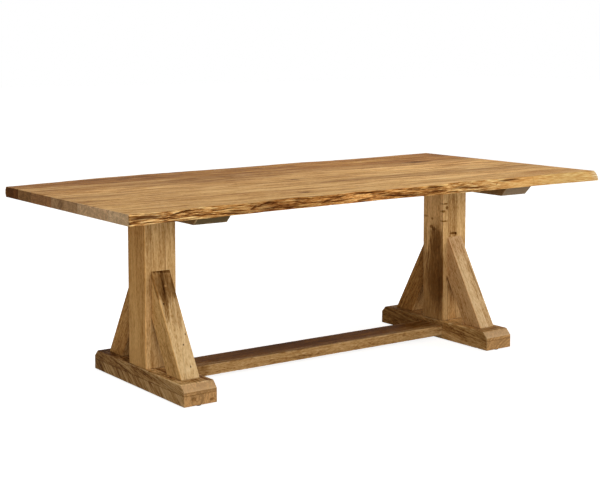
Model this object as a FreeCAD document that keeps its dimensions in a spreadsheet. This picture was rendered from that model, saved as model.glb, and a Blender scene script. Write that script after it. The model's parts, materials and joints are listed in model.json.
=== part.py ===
import FreeCAD, Part
import os
import Sketcher

# Trestle dining table with a live-edge top. Millimetres, +Z up, +X along the top, front edge towards -Y.
# The origin is on the floor, under the middle of the top.

# Driving dimensions
SIZES = {
    # Top, and how far it reaches past the middle of each trestle
    "table_height": 762.0,
    "top_length": 2328.0,
    "end_overhang": 418.0,
    "top_thickness": 40.0,
    "centre_seam_offset": 16.0,
    "board_2_width": 233.0,
    "board_3_width": 213.0,
    "board_4_width": 175.0,
    "board_5_width": 120.0,
    "front_board_width": 148.0,
    "back_board_width": 331.0,
    # Feet
    "foot_width": 140.0,
    "foot_length": 708.0,
    "foot_height": 79.0,
    "foot_chamfer": 25.0,
    # Posts and their tenons
    "post_width": 134.0,
    "post_depth": 132.0,
    "post_tenon_width": 50.0,
    "post_tenon_depth": 70.0,
    "foot_tenon_length": 42.0,
    "bearer_tenon_length": 26.0,
    "joint_clearance": 0.2,
    "joint_end_gap": 0.8,
    # Bearers under the top
    "bearer_width": 140.0,
    "bearer_height": 44.0,
    "bearer_length": 944.0,
    "bearer_bevel": 44.0,
    # Braces, measured out from the post's face and up from the foot
    "brace_thickness": 79.0,
    "brace_reach": 217.0,
    "brace_rise": 374.0,
    "brace_foot_width": 104.0,
    # Dowels between a brace and its post and foot
    "dowel_diameter": 12.0,
    "dowel_length": 60.0,
    "dowel_clearance": 0.1,
    # Stretcher between the feet
    "stretcher_width": 140.0,
    "stretcher_thickness": 42.5,
    "stretcher_lift": 17.0,
    "stretcher_tenon_length": 25.0,
    "stretcher_tenon_width": 100.0,
    "stretcher_tenon_thickness": 24.0,
    # Lag screws through a foot or a bearer into the post's end grain
    "lag_diameter": 10.0,
    "lag_head_diameter": 18.5,
    "lag_head_height": 6.5,
    "lag_bite": 60.0,
    "lag_tip": 8.0,
    "lag_washer_diameter": 25.0,
    "lag_washer_thickness": 2.5,
    "foot_counterbore_depth": 24.0,
    "bearer_counterbore_depth": 13.0,
    # Screws through a bearer into the top
    "top_screw_diameter": 6.0,
    "top_screw_head_diameter": 13.0,
    "top_screw_head_height": 4.0,
    "top_screw_bite": 28.0,
    "top_screw_tip": 5.0,
    "top_screw_post_gap": 54.0,
    "top_screw_end_inset": 82.0,
    "top_screw_play": 3.0,
    "top_washer_diameter": 24.0,
    "top_washer_thickness": 2.0,
    "top_counterbore_depth": 10.0,
    # Screws through a foot into the stretcher's tenon
    "stretcher_screw_diameter": 6.0,
    "stretcher_screw_head_diameter": 12.0,
    "stretcher_screw_head_height": 4.0,
    "stretcher_screw_bite": 18.0,
    "stretcher_screw_tip": 4.0,
    "stretcher_screw_spacing": 56.0,
    "stretcher_screw_recess": 8.0,
    # Clearances round the screws
    "shank_clearance": 0.5,
    "thread_clearance": 0.1,
    "counterbore_clearance": 1.5,
    # Levelers under the ends of the feet
    "leveler_pad_diameter": 22.0,
    "leveler_pad_height": 5.0,
    "leveler_pad_chamfer": 1.0,
    "leveler_inset": 19.0,
    "stem_diameter": 8.0,
    "stem_length": 32.0,
    "stem_seat": 3.0,
    "stem_tip": 2.0,
    "stem_headroom": 4.0,
    "stem_clearance": 0.1,
    "insert_diameter": 14.0,
    "insert_length": 20.0,
    "insert_clearance": 0.1,
}

# Live edges: share of half the top's length from the middle, then the shares of the board's widest
# width that its upper and lower corners reach out from the seam
FRONT_EDGE_SHARES = [
    (-1.00, 1.00, 0.99),
    (-0.85, 0.96, 0.82),
    (-0.72, 0.78, 0.76),
    (-0.58, 0.77, 0.67),
    (-0.40, 0.56, 0.57),
    (-0.27, 0.64, 0.53),
    (-0.13, 0.47, 0.47),
    (0.00, 0.52, 0.40),
    (0.20, 0.44, 0.42),
    (0.35, 0.24, 0.45),
    (0.60, 0.33, 0.39),
    (0.80, 0.26, 0.39),
    (1.00, 0.28, 0.43),
]
BACK_EDGE_SHARES = [
    (-1.00, 0.36, 0.37),
    (-0.87, 0.43, 0.45),
    (-0.67, 0.57, 0.55),
    (-0.47, 0.65, 0.62),
    (-0.26, 0.69, 0.67),
    (-0.04, 0.73, 0.74),
    (0.20, 0.81, 0.78),
    (0.32, 0.84, 0.82),
    (0.43, 0.82, 0.84),
    (0.69, 0.88, 0.86),
    (0.91, 0.96, 0.92),
    (1.00, 1.00, 0.95),
]

# Places of the dowels: share of the way up a brace's seat on the post, of the way out along its seat
# on the foot, and of its thickness to each side of its middle
DOWEL_RISE_SHARE = 0.25
DOWEL_REACH_SHARE = 0.5
DOWEL_SIDE_SHARE = 0.25

doc = FreeCAD.newDocument("trestle_table")
sheet = doc.addObject("Spreadsheet::Sheet", "dim")
for row, (alias, size) in enumerate(SIZES.items(), start=1):
    sheet.set(f"A{row}", alias)
    sheet.set(f"B{row}", str(size))
    sheet.setAlias(f"B{row}", alias)
doc.recompute()

# Levels and places that follow from the driving dimensions
FOOT_TOP = "(dim.leveler_pad_height + dim.foot_height)"
TOP_UNDERSIDE = "(dim.table_height - dim.top_thickness)"
BEARER_UNDERSIDE = f"({TOP_UNDERSIDE} - dim.bearer_height)"
POST_LENGTH = f"({BEARER_UNDERSIDE} - {FOOT_TOP})"
HALF_SPACING = "(dim.top_length / 2 - dim.end_overhang)"
POST_FACE = "(dim.post_depth / 2)"
LAG_OFFSET = "((dim.post_tenon_depth + dim.post_depth) / 4)"
LAG_RADIUS = "(dim.lag_diameter / 2)"
LAG_WASHER_RADIUS = "(dim.lag_washer_diameter / 2)"
LAG_PILOT_RADIUS = f"({LAG_RADIUS} + dim.thread_clearance)"
LAG_HOLE_RADIUS = f"({LAG_RADIUS} + dim.shank_clearance)"
LAG_COUNTERBORE_RADIUS = f"({LAG_WASHER_RADIUS} + dim.counterbore_clearance)"
LAG_PILOT_DEPTH = "(dim.lag_bite + dim.joint_end_gap)"
INNER_SCREW = f"({POST_FACE} + dim.top_screw_post_gap)"
OUTER_SCREW = "(dim.bearer_length / 2 - dim.bearer_bevel - dim.top_screw_end_inset)"
TOP_SCREW_RADIUS = "(dim.top_screw_diameter / 2)"
DOWEL_RADIUS = "(dim.dowel_diameter / 2)"
DOWEL_HOLE_RADIUS = f"({DOWEL_RADIUS} + dim.dowel_clearance)"
DOWEL_HOLE_DEPTH = "(dim.dowel_length / 2 + dim.joint_end_gap / 2)"
DOWEL_SIDE = f"(dim.brace_thickness * {DOWEL_SIDE_SHARE})"
BRACE_INNER = "(dim.brace_reach - dim.brace_foot_width)"
BRACE_LOW = f"(dim.brace_rise * {BRACE_INNER} / dim.brace_reach)"
DOWEL_RISE = f"({BRACE_LOW} + (dim.brace_rise - {BRACE_LOW}) * {DOWEL_RISE_SHARE})"
DOWEL_REACH = f"({BRACE_INNER} + dim.brace_foot_width * {DOWEL_REACH_SHARE})"
STRETCHER_SPAN = f"(2 * {HALF_SPACING} - dim.foot_width)"
STRETCHER_MIDDLE = "(dim.stretcher_lift + dim.stretcher_thickness / 2)"
STRETCHER_TENON_LOW = f"({STRETCHER_MIDDLE} - dim.stretcher_tenon_thickness / 2)"
STRETCHER_SCREW_OUT = "(dim.foot_width / 2 - dim.stretcher_tenon_length / 2)"
STRETCHER_SCREW_SIDE = "(dim.stretcher_screw_spacing / 2)"
STRETCHER_SCREW_RADIUS = "(dim.stretcher_screw_diameter / 2)"
STRETCHER_HEAD_RADIUS = "(dim.stretcher_screw_head_diameter / 2)"
LEVELER_REACH = "(dim.foot_length / 2 - dim.leveler_inset)"
STEM_RADIUS = "(dim.stem_diameter / 2)"
INSERT_RADIUS = "(dim.insert_diameter / 2)"

SIDES = {"left": -1, "right": 1}
HALF_TURN = 180
nodes = []


def number(expression):
    return float(sheet.evalExpression(expression))


def minus(expression):
    return f"-({expression})"


def both_ways(expression):
    return (expression, minus(expression))


def node(piece, label):
    piece.Label = label
    nodes.append(piece)
    return piece


def place(piece, x="0", y="0", z="0", turn=0, about=FreeCAD.Vector(0, 0, 1)):
    piece.Placement = FreeCAD.Placement(FreeCAD.Vector(), FreeCAD.Rotation(about, turn))
    for axis, expression in zip("xyz", (x, y, z)):
        piece.setExpression(f"Placement.Base.{axis}", expression)
    return piece


def place_in_trestle(piece, side, z="0"):
    # The right trestle is the left one turned half round, so the stretcher side of both faces inwards
    x = f"{SIDES[side]} * {HALF_SPACING}"
    return place(piece, x=x, z=z, turn=HALF_TURN if side == "right" else 0)


def bind(feature, expressions):
    for key, expression in expressions.items():
        feature.setExpression(key, expression)
    return feature


# Sketches and features of a body

def sketch_on(body, name, role, lift="0"):
    sketch = body.newObject("Sketcher::SketchObject", name)
    support = next(f for f in body.Origin.OriginFeatures if f.Role == role)
    sketch.AttachmentSupport = [(support, "")]
    sketch.MapMode = "FlatFace"
    sketch.setExpression("AttachmentOffset.Base.z", lift)
    return sketch


def pin_point(sketch, geometry, position, x, y):
    for kind, expression, axis in (("DistanceX", x, -2), ("DistanceY", y, -1)):
        if expression == "0":
            sketch.addConstraint(Sketcher.Constraint("PointOnObject", geometry, position, axis))
            continue
        size = number(expression)
        index = sketch.addConstraint(Sketcher.Constraint(kind, -1, 1, geometry, position, size))
        sketch.setExpression(f"Constraints[{index}]", expression)


def outline(sketch, points):
    corners = [FreeCAD.Vector(number(x), number(y), 0) for x, y in points]
    count = len(corners)
    for i in range(count):
        sketch.addGeometry(Part.LineSegment(corners[i], corners[(i + 1) % count]))
    for i in range(count):
        sketch.addConstraint(Sketcher.Constraint("Coincident", i, 2, (i + 1) % count, 1))
    for i, (x, y) in enumerate(points):
        pin_point(sketch, i, 1, x, y)
    return sketch


def rectangle(sketch, width, depth, middle="0"):
    right = f"({width}) / 2"
    top = f"{middle} + ({depth}) / 2"
    bottom = f"{middle} - ({depth}) / 2"
    return outline(sketch, [(minus(right), bottom), (right, bottom), (right, top), (minus(right), top)])


def circles(sketch, centres, radius):
    for x, y in centres:
        centre = FreeCAD.Vector(number(x), number(y), 0)
        circle = Part.Circle(centre, FreeCAD.Vector(0, 0, 1), number(radius))
        geometry = sketch.addGeometry(circle)
        pin_point(sketch, geometry, 3, x, y)
        index = sketch.addConstraint(Sketcher.Constraint("Radius", geometry, number(radius)))
        sketch.setExpression(f"Constraints[{index}]", radius)
    return sketch


def extrude(body, kind, name, sketch, length, symmetric=False, backwards=False):
    feature = body.newObject(f"PartDesign::{kind}", name)
    feature.Profile = sketch
    feature.SideType = "Symmetric" if symmetric else "One side"
    feature.Reversed = backwards
    feature.setExpression("Length", length)
    return feature


def drill(body, name, role, lift, centres, radius, depth, backwards=False):
    sketch = circles(sketch_on(body, f"{name}_places", role, lift), centres, radius)
    return extrude(body, "Pocket", name, sketch, depth, backwards=backwards)


# Primitives and groups

def primitive(kind, name, sizes, z="0"):
    return place(bind(doc.addObject(kind, name), sizes), z=z)


def joined(name, pieces):
    whole = doc.addObject("Part::MultiFuse", name)
    whole.Shapes = pieces
    return whole


def cut(name, base, tool):
    remainder = doc.addObject("Part::Cut", name)
    remainder.Base = base
    remainder.Tool = tool
    return remainder


def group(name, pieces):
    compound = doc.addObject("Part::Compound", name)
    compound.Links = pieces
    return compound


def ring(name, outer, inner, height):
    body = primitive("Part::Cylinder", f"{name}_disc", {"Radius": outer, "Height": height})
    bore = primitive("Part::Cylinder", f"{name}_bore", {"Radius": inner, "Height": height})
    return cut(name, body, bore)


def screw(name, head, radius, length, tip):
    # A shank and its tip, pointing up from the underside of the head
    shank_length = f"({length}) - ({tip})"
    shank = primitive("Part::Cylinder", f"{name}_shank", {"Radius": radius, "Height": shank_length})
    cone_sizes = {"Radius1": radius, "Radius2": f"{radius} / 4", "Height": tip}
    point = primitive("Part::Cone", f"{name}_tip", cone_sizes, z=shank_length)
    return joined(name, [head, shank, point])


# Top

def seams():
    # Places of the five glue lines, from the front
    middle = "-dim.centre_seam_offset"
    second = f"({middle} - dim.board_3_width)"
    first = f"({second} - dim.board_2_width)"
    fourth = f"({middle} + dim.board_4_width)"
    fifth = f"({fourth} + dim.board_5_width)"
    return first, second, middle, fourth, fifth


def live_edge_board(name, seam, width, outward, shares):
    # Ruled between the outlines of its upper and lower faces
    half_length = sheet.top_length / 2
    outlines = []
    for column, z in ((2, number(TOP_UNDERSIDE)), (1, sheet.table_height)):
        edge = [
            FreeCAD.Vector(row[0] * half_length, seam + outward * row[column] * width, z)
            for row in shares
        ]
        curve = Part.BSplineCurve()
        curve.interpolate(edge)
        right_seam = FreeCAD.Vector(half_length, seam, z)
        left_seam = FreeCAD.Vector(-half_length, seam, z)
        corners = [edge[-1], right_seam, left_seam, edge[0]]
        sides = [Part.makeLine(a, b) for a, b in zip(corners, corners[1:])]
        outlines.append(Part.Wire([curve.toShape(), *sides]))
    board = doc.addObject("Part::Feature", name)
    board.Shape = Part.makeLoft(outlines, True, True)
    return board


def straight_board(name, seam, width):
    board = doc.addObject("Part::Box", name)
    bind(board, {"Length": "dim.top_length", "Width": width, "Height": "dim.top_thickness"})
    return place(board, x="-dim.top_length / 2", y=seam, z=TOP_UNDERSIDE)


def make_top():
    pilot_sizes = {
        "Radius": f"{TOP_SCREW_RADIUS} + dim.thread_clearance",
        "Height": "dim.top_screw_bite + dim.joint_end_gap",
    }
    pilots = []
    for x in both_ways(HALF_SPACING):
        for y in both_ways(INNER_SCREW) + both_ways(OUTER_SCREW):
            pilot = primitive("Part::Cylinder", "top_pilot", pilot_sizes)
            pilots.append(place(pilot, x=x, y=y, z=TOP_UNDERSIDE))
    holes = group("top_pilot_holes", pilots)
    first, second, middle, fourth, fifth = seams()
    blanks = {
        "front_live_edge_board": live_edge_board(
            "front_blank", number(first), sheet.front_board_width, -1, FRONT_EDGE_SHARES
        ),
        "top_board_2": straight_board("blank_2", first, "dim.board_2_width"),
        "top_board_3": straight_board("blank_3", second, "dim.board_3_width"),
        "top_board_4": straight_board("blank_4", middle, "dim.board_4_width"),
        "top_board_5": straight_board("blank_5", fourth, "dim.board_5_width"),
        "back_live_edge_board": live_edge_board(
            "back_blank", number(fifth), sheet.back_board_width, 1, BACK_EDGE_SHARES
        ),
    }
    for label, blank in blanks.items():
        node(cut(label, blank, holes), label)


# Trestles

def make_foot(side):
    # Its own frame: middle of the underside, with the stretcher on its +X side
    body = doc.addObject("PartDesign::Body", f"{side}_foot")
    end = "dim.foot_length / 2"
    shoulder = "dim.foot_height - dim.foot_chamfer"
    flat_end = f"{end} - dim.foot_chamfer"
    profile = outline(sketch_on(body, "foot_profile", "YZ_Plane"), [
        (minus(end), "0"),
        (end, "0"),
        (end, shoulder),
        (flat_end, "dim.foot_height"),
        (minus(flat_end), "dim.foot_height"),
        (minus(end), shoulder),
    ])
    extrude(body, "Pad", "foot_block", profile, "dim.foot_width", symmetric=True)

    post_seat = sketch_on(body, "post_mortise_outline", "XY_Plane", "dim.foot_height")
    rectangle(
        post_seat,
        "dim.post_tenon_width + 2 * dim.joint_clearance",
        "dim.post_tenon_depth + 2 * dim.joint_clearance",
    )
    extrude(body, "Pocket", "post_mortise", post_seat, "dim.foot_tenon_length + dim.joint_end_gap")

    stretcher_seat = sketch_on(body, "stretcher_mortise_outline", "YZ_Plane", "dim.foot_width / 2")
    rectangle(
        stretcher_seat,
        "dim.stretcher_tenon_width + 2 * dim.joint_clearance",
        "dim.stretcher_tenon_thickness + 2 * dim.joint_clearance",
        middle=STRETCHER_MIDDLE,
    )
    depth = "dim.stretcher_tenon_length + dim.joint_end_gap"
    extrude(body, "Pocket", "stretcher_mortise", stretcher_seat, depth)

    def bore_up(name, centres, radius, depth):
        drill(body, name, "XY_Plane", "0", centres, radius, depth, backwards=True)

    lags = [("0", y) for y in both_ways(LAG_OFFSET)]
    bore_up("lag_counterbores", lags, LAG_COUNTERBORE_RADIUS, "dim.foot_counterbore_depth")
    bore_up("lag_holes", lags, LAG_HOLE_RADIUS, "dim.foot_height")
    screws = [(STRETCHER_SCREW_OUT, y) for y in both_ways(STRETCHER_SCREW_SIDE)]
    recess_radius = f"{STRETCHER_HEAD_RADIUS} + dim.shank_clearance"
    bore_up("stretcher_screw_recesses", screws, recess_radius, "dim.stretcher_screw_recess")
    hole_radius = f"{STRETCHER_SCREW_RADIUS} + dim.shank_clearance"
    bore_up("stretcher_screw_holes", screws, hole_radius, STRETCHER_TENON_LOW)
    levelers = [("0", y) for y in both_ways(LEVELER_REACH)]
    bore_up("insert_holes", levelers, f"{INSERT_RADIUS} + dim.insert_clearance", "dim.insert_length")
    relief_radius = f"{STEM_RADIUS} + dim.shank_clearance"
    bore_up("stem_holes", levelers, relief_radius, "dim.stem_length + dim.stem_headroom")

    reach = f"({POST_FACE} + {DOWEL_REACH})"
    dowels = [(x, y) for x in both_ways(DOWEL_SIDE) for y in both_ways(reach)]
    drill(body, "dowel_holes", "XY_Plane", "dim.foot_height", dowels, DOWEL_HOLE_RADIUS, DOWEL_HOLE_DEPTH)
    node(place_in_trestle(body, side, z="dim.leveler_pad_height"), f"{side}_foot")


def make_post(side):
    # Its own frame: middle of its lower shoulder, on the foot
    body = doc.addObject("PartDesign::Body", f"{side}_post")
    section = rectangle(sketch_on(body, "post_section", "XY_Plane"), "dim.post_width", "dim.post_depth")
    extrude(body, "Pad", "post_block", section, POST_LENGTH)
    low = rectangle(
        sketch_on(body, "foot_tenon_section", "XY_Plane"), "dim.post_tenon_width", "dim.post_tenon_depth"
    )
    extrude(body, "Pad", "foot_tenon", low, "dim.foot_tenon_length", backwards=True)
    high = rectangle(
        sketch_on(body, "bearer_tenon_section", "XY_Plane", POST_LENGTH),
        "dim.post_tenon_width",
        "dim.post_tenon_depth",
    )
    extrude(body, "Pad", "bearer_tenon", high, "dim.bearer_tenon_length")

    lags = [("0", y) for y in both_ways(LAG_OFFSET)]
    drill(body, "foot_pilots", "XY_Plane", "0", lags, LAG_PILOT_RADIUS, LAG_PILOT_DEPTH, backwards=True)
    drill(body, "bearer_pilots", "XY_Plane", POST_LENGTH, lags, LAG_PILOT_RADIUS, LAG_PILOT_DEPTH)
    dowels = [(x, DOWEL_RISE) for x in both_ways(DOWEL_SIDE)]
    # The XZ plane faces the front, so the front face is the positive way
    for face, lift, backwards in (("front", POST_FACE, False), ("back", minus(POST_FACE), True)):
        name = f"{face}_dowel_holes"
        drill(body, name, "XZ_Plane", lift, dowels, DOWEL_HOLE_RADIUS, DOWEL_HOLE_DEPTH, backwards)
    node(place_in_trestle(body, side, z=FOOT_TOP), f"{side}_post")


def make_bearer(side):
    # Its own frame: middle of its underside, on the post's upper shoulder
    body = doc.addObject("PartDesign::Body", f"{side}_bearer")
    end = "dim.bearer_length / 2"
    low_end = f"{end} - dim.bearer_bevel"
    profile = outline(sketch_on(body, "bearer_profile", "YZ_Plane"), [
        (minus(low_end), "0"),
        (low_end, "0"),
        (end, "dim.bearer_height"),
        (minus(end), "dim.bearer_height"),
    ])
    extrude(body, "Pad", "bearer_block", profile, "dim.bearer_width", symmetric=True)
    post_seat = rectangle(
        sketch_on(body, "post_mortise_outline", "XY_Plane"),
        "dim.post_tenon_width + 2 * dim.joint_clearance",
        "dim.post_tenon_depth + 2 * dim.joint_clearance",
    )
    depth = "dim.bearer_tenon_length + dim.joint_end_gap"
    extrude(body, "Pocket", "post_mortise", post_seat, depth, backwards=True)

    lags = [("0", y) for y in both_ways(LAG_OFFSET)]
    top = "dim.bearer_height"
    depth = "dim.bearer_counterbore_depth"
    drill(body, "lag_counterbores", "XY_Plane", top, lags, LAG_COUNTERBORE_RADIUS, depth)
    drill(body, "lag_holes", "XY_Plane", top, lags, LAG_HOLE_RADIUS, top)
    screws = [("0", y) for y in both_ways(INNER_SCREW) + both_ways(OUTER_SCREW)]
    recess_radius = "dim.top_washer_diameter / 2 + dim.counterbore_clearance"
    depth = "dim.top_counterbore_depth"
    drill(body, "screw_counterbores", "XY_Plane", "0", screws, recess_radius, depth, backwards=True)
    hole_radius = f"{TOP_SCREW_RADIUS} + dim.top_screw_play"
    drill(body, "screw_holes", "XY_Plane", "0", screws, hole_radius, top, backwards=True)
    node(place_in_trestle(body, side, z=BEARER_UNDERSIDE), f"{side}_bearer")


def make_brace(side, face):
    # Its own frame: on the post's face and the foot's top, reaching out along +Y
    label = f"{side}_{face}_brace"
    body = doc.addObject("PartDesign::Body", label)
    profile = outline(sketch_on(body, "brace_profile", "YZ_Plane"), [
        (BRACE_INNER, "0"),
        ("dim.brace_reach", "0"),
        ("0", "dim.brace_rise"),
        ("0", BRACE_LOW),
    ])
    extrude(body, "Pad", "brace_block", profile, "dim.brace_thickness", symmetric=True)
    on_foot = [(x, DOWEL_REACH) for x in both_ways(DOWEL_SIDE)]
    on_post = [(x, DOWEL_RISE) for x in both_ways(DOWEL_SIDE)]
    for name, role, centres, backwards in (
        ("foot_dowel_holes", "XY_Plane", on_foot, True),
        ("post_dowel_holes", "XZ_Plane", on_post, False),
    ):
        drill(body, name, role, "0", centres, DOWEL_HOLE_RADIUS, DOWEL_HOLE_DEPTH, backwards)
    y = minus(POST_FACE) if face == "front" else POST_FACE
    turn = HALF_TURN if face == "front" else 0
    x = f"{SIDES[side]} * {HALF_SPACING}"
    node(place(body, x=x, y=y, z=FOOT_TOP, turn=turn), label)


def make_dowels(side):
    sizes = {"Radius": DOWEL_RADIUS, "Height": "dim.dowel_length"}
    middle = "dim.dowel_length / 2"
    quarter_turn = HALF_TURN / 2
    reach = f"({POST_FACE} + {DOWEL_REACH})"
    dowels = []
    for x in both_ways(DOWEL_SIDE):
        for outward in (-1, 1):
            upright = doc.addObject("Part::Cylinder", f"{side}_foot_dowel")
            y = f"{outward} * {reach}"
            dowels.append(place(bind(upright, sizes), x=x, y=y, z=f"{FOOT_TOP} - {middle}"))
            level = doc.addObject("Part::Cylinder", f"{side}_post_dowel")
            y = f"{outward} * {POST_FACE} + {middle}"
            z = f"{FOOT_TOP} + {DOWEL_RISE}"
            about = FreeCAD.Vector(1, 0, 0)
            dowels.append(place(bind(level, sizes), x=x, y=y, z=z, turn=quarter_turn, about=about))
    label = f"{side}_brace_dowels"
    node(place_in_trestle(group(label, dowels), side), label)


def make_lags(side, where, washer_level, under_head, downwards):
    # Two lag screws beside the tenon, each with a washer on the floor of its counterbore
    length = f"({under_head} + dim.lag_washer_thickness + dim.lag_bite)"
    turn = HALF_TURN if downwards else 0
    head_side = "+" if downwards else "-"
    head_level = f"{washer_level} {head_side} dim.lag_washer_thickness"
    about = FreeCAD.Vector(1, 0, 0)
    screws = []
    washers = []
    for y in both_ways(LAG_OFFSET):
        name = f"{side}_{where}_lag"
        head = doc.addObject("Part::Prism", f"{name}_head")
        bind(head, {"Circumradius": "dim.lag_head_diameter / 2", "Height": "dim.lag_head_height"})
        place(head, z="-dim.lag_head_height")
        lag = screw(name, head, LAG_RADIUS, length, "dim.lag_tip")
        screws.append(place(lag, y=y, z=head_level, turn=turn, about=about))
        washer = ring(f"{name}_washer", LAG_WASHER_RADIUS, LAG_HOLE_RADIUS, "dim.lag_washer_thickness")
        low = washer_level if downwards else head_level
        washers.append(place(washer, y=y, z=low))
    for kind, pieces in (("screws", screws), ("washers", washers)):
        label = f"{side}_{where}_lag_{kind}"
        node(place_in_trestle(group(label, pieces), side), label)


def make_top_screws(side):
    floor = f"{BEARER_UNDERSIDE} + dim.top_counterbore_depth"
    head_level = f"{floor} - dim.top_washer_thickness"
    length = (
        "(dim.bearer_height - dim.top_counterbore_depth + dim.top_washer_thickness + dim.top_screw_bite)"
    )
    head_sizes = {"Radius": "dim.top_screw_head_diameter / 2", "Height": "dim.top_screw_head_height"}
    screws = []
    washers = []
    for y in both_ways(INNER_SCREW) + both_ways(OUTER_SCREW):
        name = f"{side}_top_screw"
        head = primitive("Part::Cylinder", f"{name}_head", head_sizes, z="-dim.top_screw_head_height")
        one = screw(name, head, TOP_SCREW_RADIUS, length, "dim.top_screw_tip")
        screws.append(place(one, y=y, z=head_level))
        bore = f"{TOP_SCREW_RADIUS} + dim.shank_clearance"
        washer = ring(f"{name}_washer", "dim.top_washer_diameter / 2", bore, "dim.top_washer_thickness")
        washers.append(place(washer, y=y, z=head_level))
    for kind, pieces in (("screws", screws), ("washers", washers)):
        label = f"{side}_top_{kind}"
        node(place_in_trestle(group(label, pieces), side), label)


def make_stretcher_screws(side):
    # Countersunk heads sit on the floor of their recesses
    head_level = "dim.leveler_pad_height + dim.stretcher_screw_recess"
    length = f"({STRETCHER_TENON_LOW} - dim.stretcher_screw_recess + dim.stretcher_screw_bite)"
    head_sizes = {
        "Radius1": STRETCHER_HEAD_RADIUS,
        "Radius2": f"{STRETCHER_SCREW_RADIUS} + dim.shank_clearance",
        "Height": "dim.stretcher_screw_head_height",
    }
    screws = []
    for y in both_ways(STRETCHER_SCREW_SIDE):
        name = f"{side}_stretcher_screw"
        head = primitive("Part::Cone", f"{name}_head", head_sizes, z="-dim.stretcher_screw_head_height")
        one = screw(name, head, STRETCHER_SCREW_RADIUS, length, "dim.stretcher_screw_tip")
        screws.append(place(one, x=STRETCHER_SCREW_OUT, y=y, z=head_level))
    label = f"{side}_stretcher_screws"
    node(place_in_trestle(group(label, screws), side), label)


def make_stretcher():
    # Its own frame: middle of its length and width, level with the undersides of the feet
    body = doc.addObject("PartDesign::Body", "stretcher")
    board = rectangle(
        sketch_on(body, "board_outline", "XY_Plane", "dim.stretcher_lift"),
        STRETCHER_SPAN,
        "dim.stretcher_width",
    )
    extrude(body, "Pad", "board", board, "dim.stretcher_thickness")
    tenons = rectangle(
        sketch_on(body, "tenon_outline", "XY_Plane", STRETCHER_TENON_LOW),
        f"{STRETCHER_SPAN} + 2 * dim.stretcher_tenon_length",
        "dim.stretcher_tenon_width",
    )
    extrude(body, "Pad", "tenons", tenons, "dim.stretcher_tenon_thickness")
    screw_x = f"({HALF_SPACING} - {STRETCHER_SCREW_OUT})"
    pilots = [(x, y) for x in both_ways(screw_x) for y in both_ways(STRETCHER_SCREW_SIDE)]
    radius = f"{STRETCHER_SCREW_RADIUS} + dim.thread_clearance"
    depth = "dim.stretcher_screw_bite + dim.joint_end_gap"
    drill(body, "screw_pilots", "XY_Plane", STRETCHER_TENON_LOW, pilots, radius, depth, backwards=True)
    node(place(body, z="dim.leveler_pad_height"), "stretcher")


# Levelers

def make_inserts(side):
    inserts = []
    bore = f"{STEM_RADIUS} + dim.stem_clearance"
    for y in both_ways(LEVELER_REACH):
        insert = ring(f"{side}_insert", INSERT_RADIUS, bore, "dim.insert_length")
        inserts.append(place(insert, y=y, z="dim.leveler_pad_height"))
    label = f"{side}_leveler_inserts"
    node(place_in_trestle(group(label, inserts), side), label)


def make_leveler(side, face):
    name = f"{side}_{face}_leveler"
    x = f"{SIDES[side]} * {HALF_SPACING}"
    y = minus(LEVELER_REACH) if face == "front" else LEVELER_REACH
    rim = "dim.leveler_pad_diameter / 2"
    seat_floor = "dim.leveler_pad_height - dim.stem_seat"
    seat_rim = f"{STEM_RADIUS} + dim.stem_clearance"
    pad = doc.addObject("PartDesign::Body", f"{name}_pad")
    profile = outline(sketch_on(pad, "pad_profile", "XZ_Plane"), [
        ("0", "0"),
        (f"{rim} - dim.leveler_pad_chamfer", "0"),
        (rim, "dim.leveler_pad_chamfer"),
        (rim, "dim.leveler_pad_height"),
        (seat_rim, "dim.leveler_pad_height"),
        (seat_rim, seat_floor),
        ("0", seat_floor),
    ])
    turned = pad.newObject("PartDesign::Revolution", "pad_turned")
    turned.Profile = profile
    turned.ReferenceAxis = (profile, ["V_Axis"])
    node(place(pad, x=x, y=y), f"{name}_pad")

    length = "(dim.stem_length + dim.stem_seat)"
    rod = primitive(
        "Part::Cylinder", f"{name}_rod", {"Radius": STEM_RADIUS, "Height": f"{length} - dim.stem_tip"}
    )
    tip_sizes = {
        "Radius1": STEM_RADIUS,
        "Radius2": f"{STEM_RADIUS} - dim.stem_tip / 2",
        "Height": "dim.stem_tip",
    }
    tip = primitive("Part::Cone", f"{name}_tip", tip_sizes, z=f"{length} - dim.stem_tip")
    stem = joined(f"{name}_stem", [rod, tip])
    node(place(stem, x=x, y=y, z=seat_floor), f"{name}_stem")


def make_trestle(side):
    make_foot(side)
    make_post(side)
    make_bearer(side)
    for face in ("front", "back"):
        make_brace(side, face)
    make_dowels(side)
    foot_floor = "dim.leveler_pad_height + dim.foot_counterbore_depth"
    foot_under_head = "dim.foot_height - dim.foot_counterbore_depth"
    make_lags(side, "foot", foot_floor, foot_under_head, downwards=False)
    bearer_floor = f"{TOP_UNDERSIDE} - dim.bearer_counterbore_depth"
    bearer_under_head = "dim.bearer_height - dim.bearer_counterbore_depth"
    make_lags(side, "bearer", bearer_floor, bearer_under_head, downwards=True)
    make_top_screws(side)
    make_stretcher_screws(side)
    make_inserts(side)
    for face in ("front", "back"):
        make_leveler(side, face)


def check_model():
    for item in doc.Objects:
        if "Invalid" in item.State or "Error" in item.State:
            raise RuntimeError(f"{item.Label} failed: {item.State}")
        if item.TypeId == "PartDesign::Pocket" and item.Shape.Volume >= item.BaseFeature.Shape.Volume:
            raise RuntimeError(f"{item.Label} cuts nothing")
    for piece in nodes:
        if piece.Shape.isNull() or not piece.Shape.isValid() or not piece.Shape.Solids:
            raise RuntimeError(f"{piece.Label} has no valid solid")


make_top()
for trestle in SIDES:
    make_trestle(trestle)
make_stretcher()
doc.recompute()
check_model()

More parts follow.
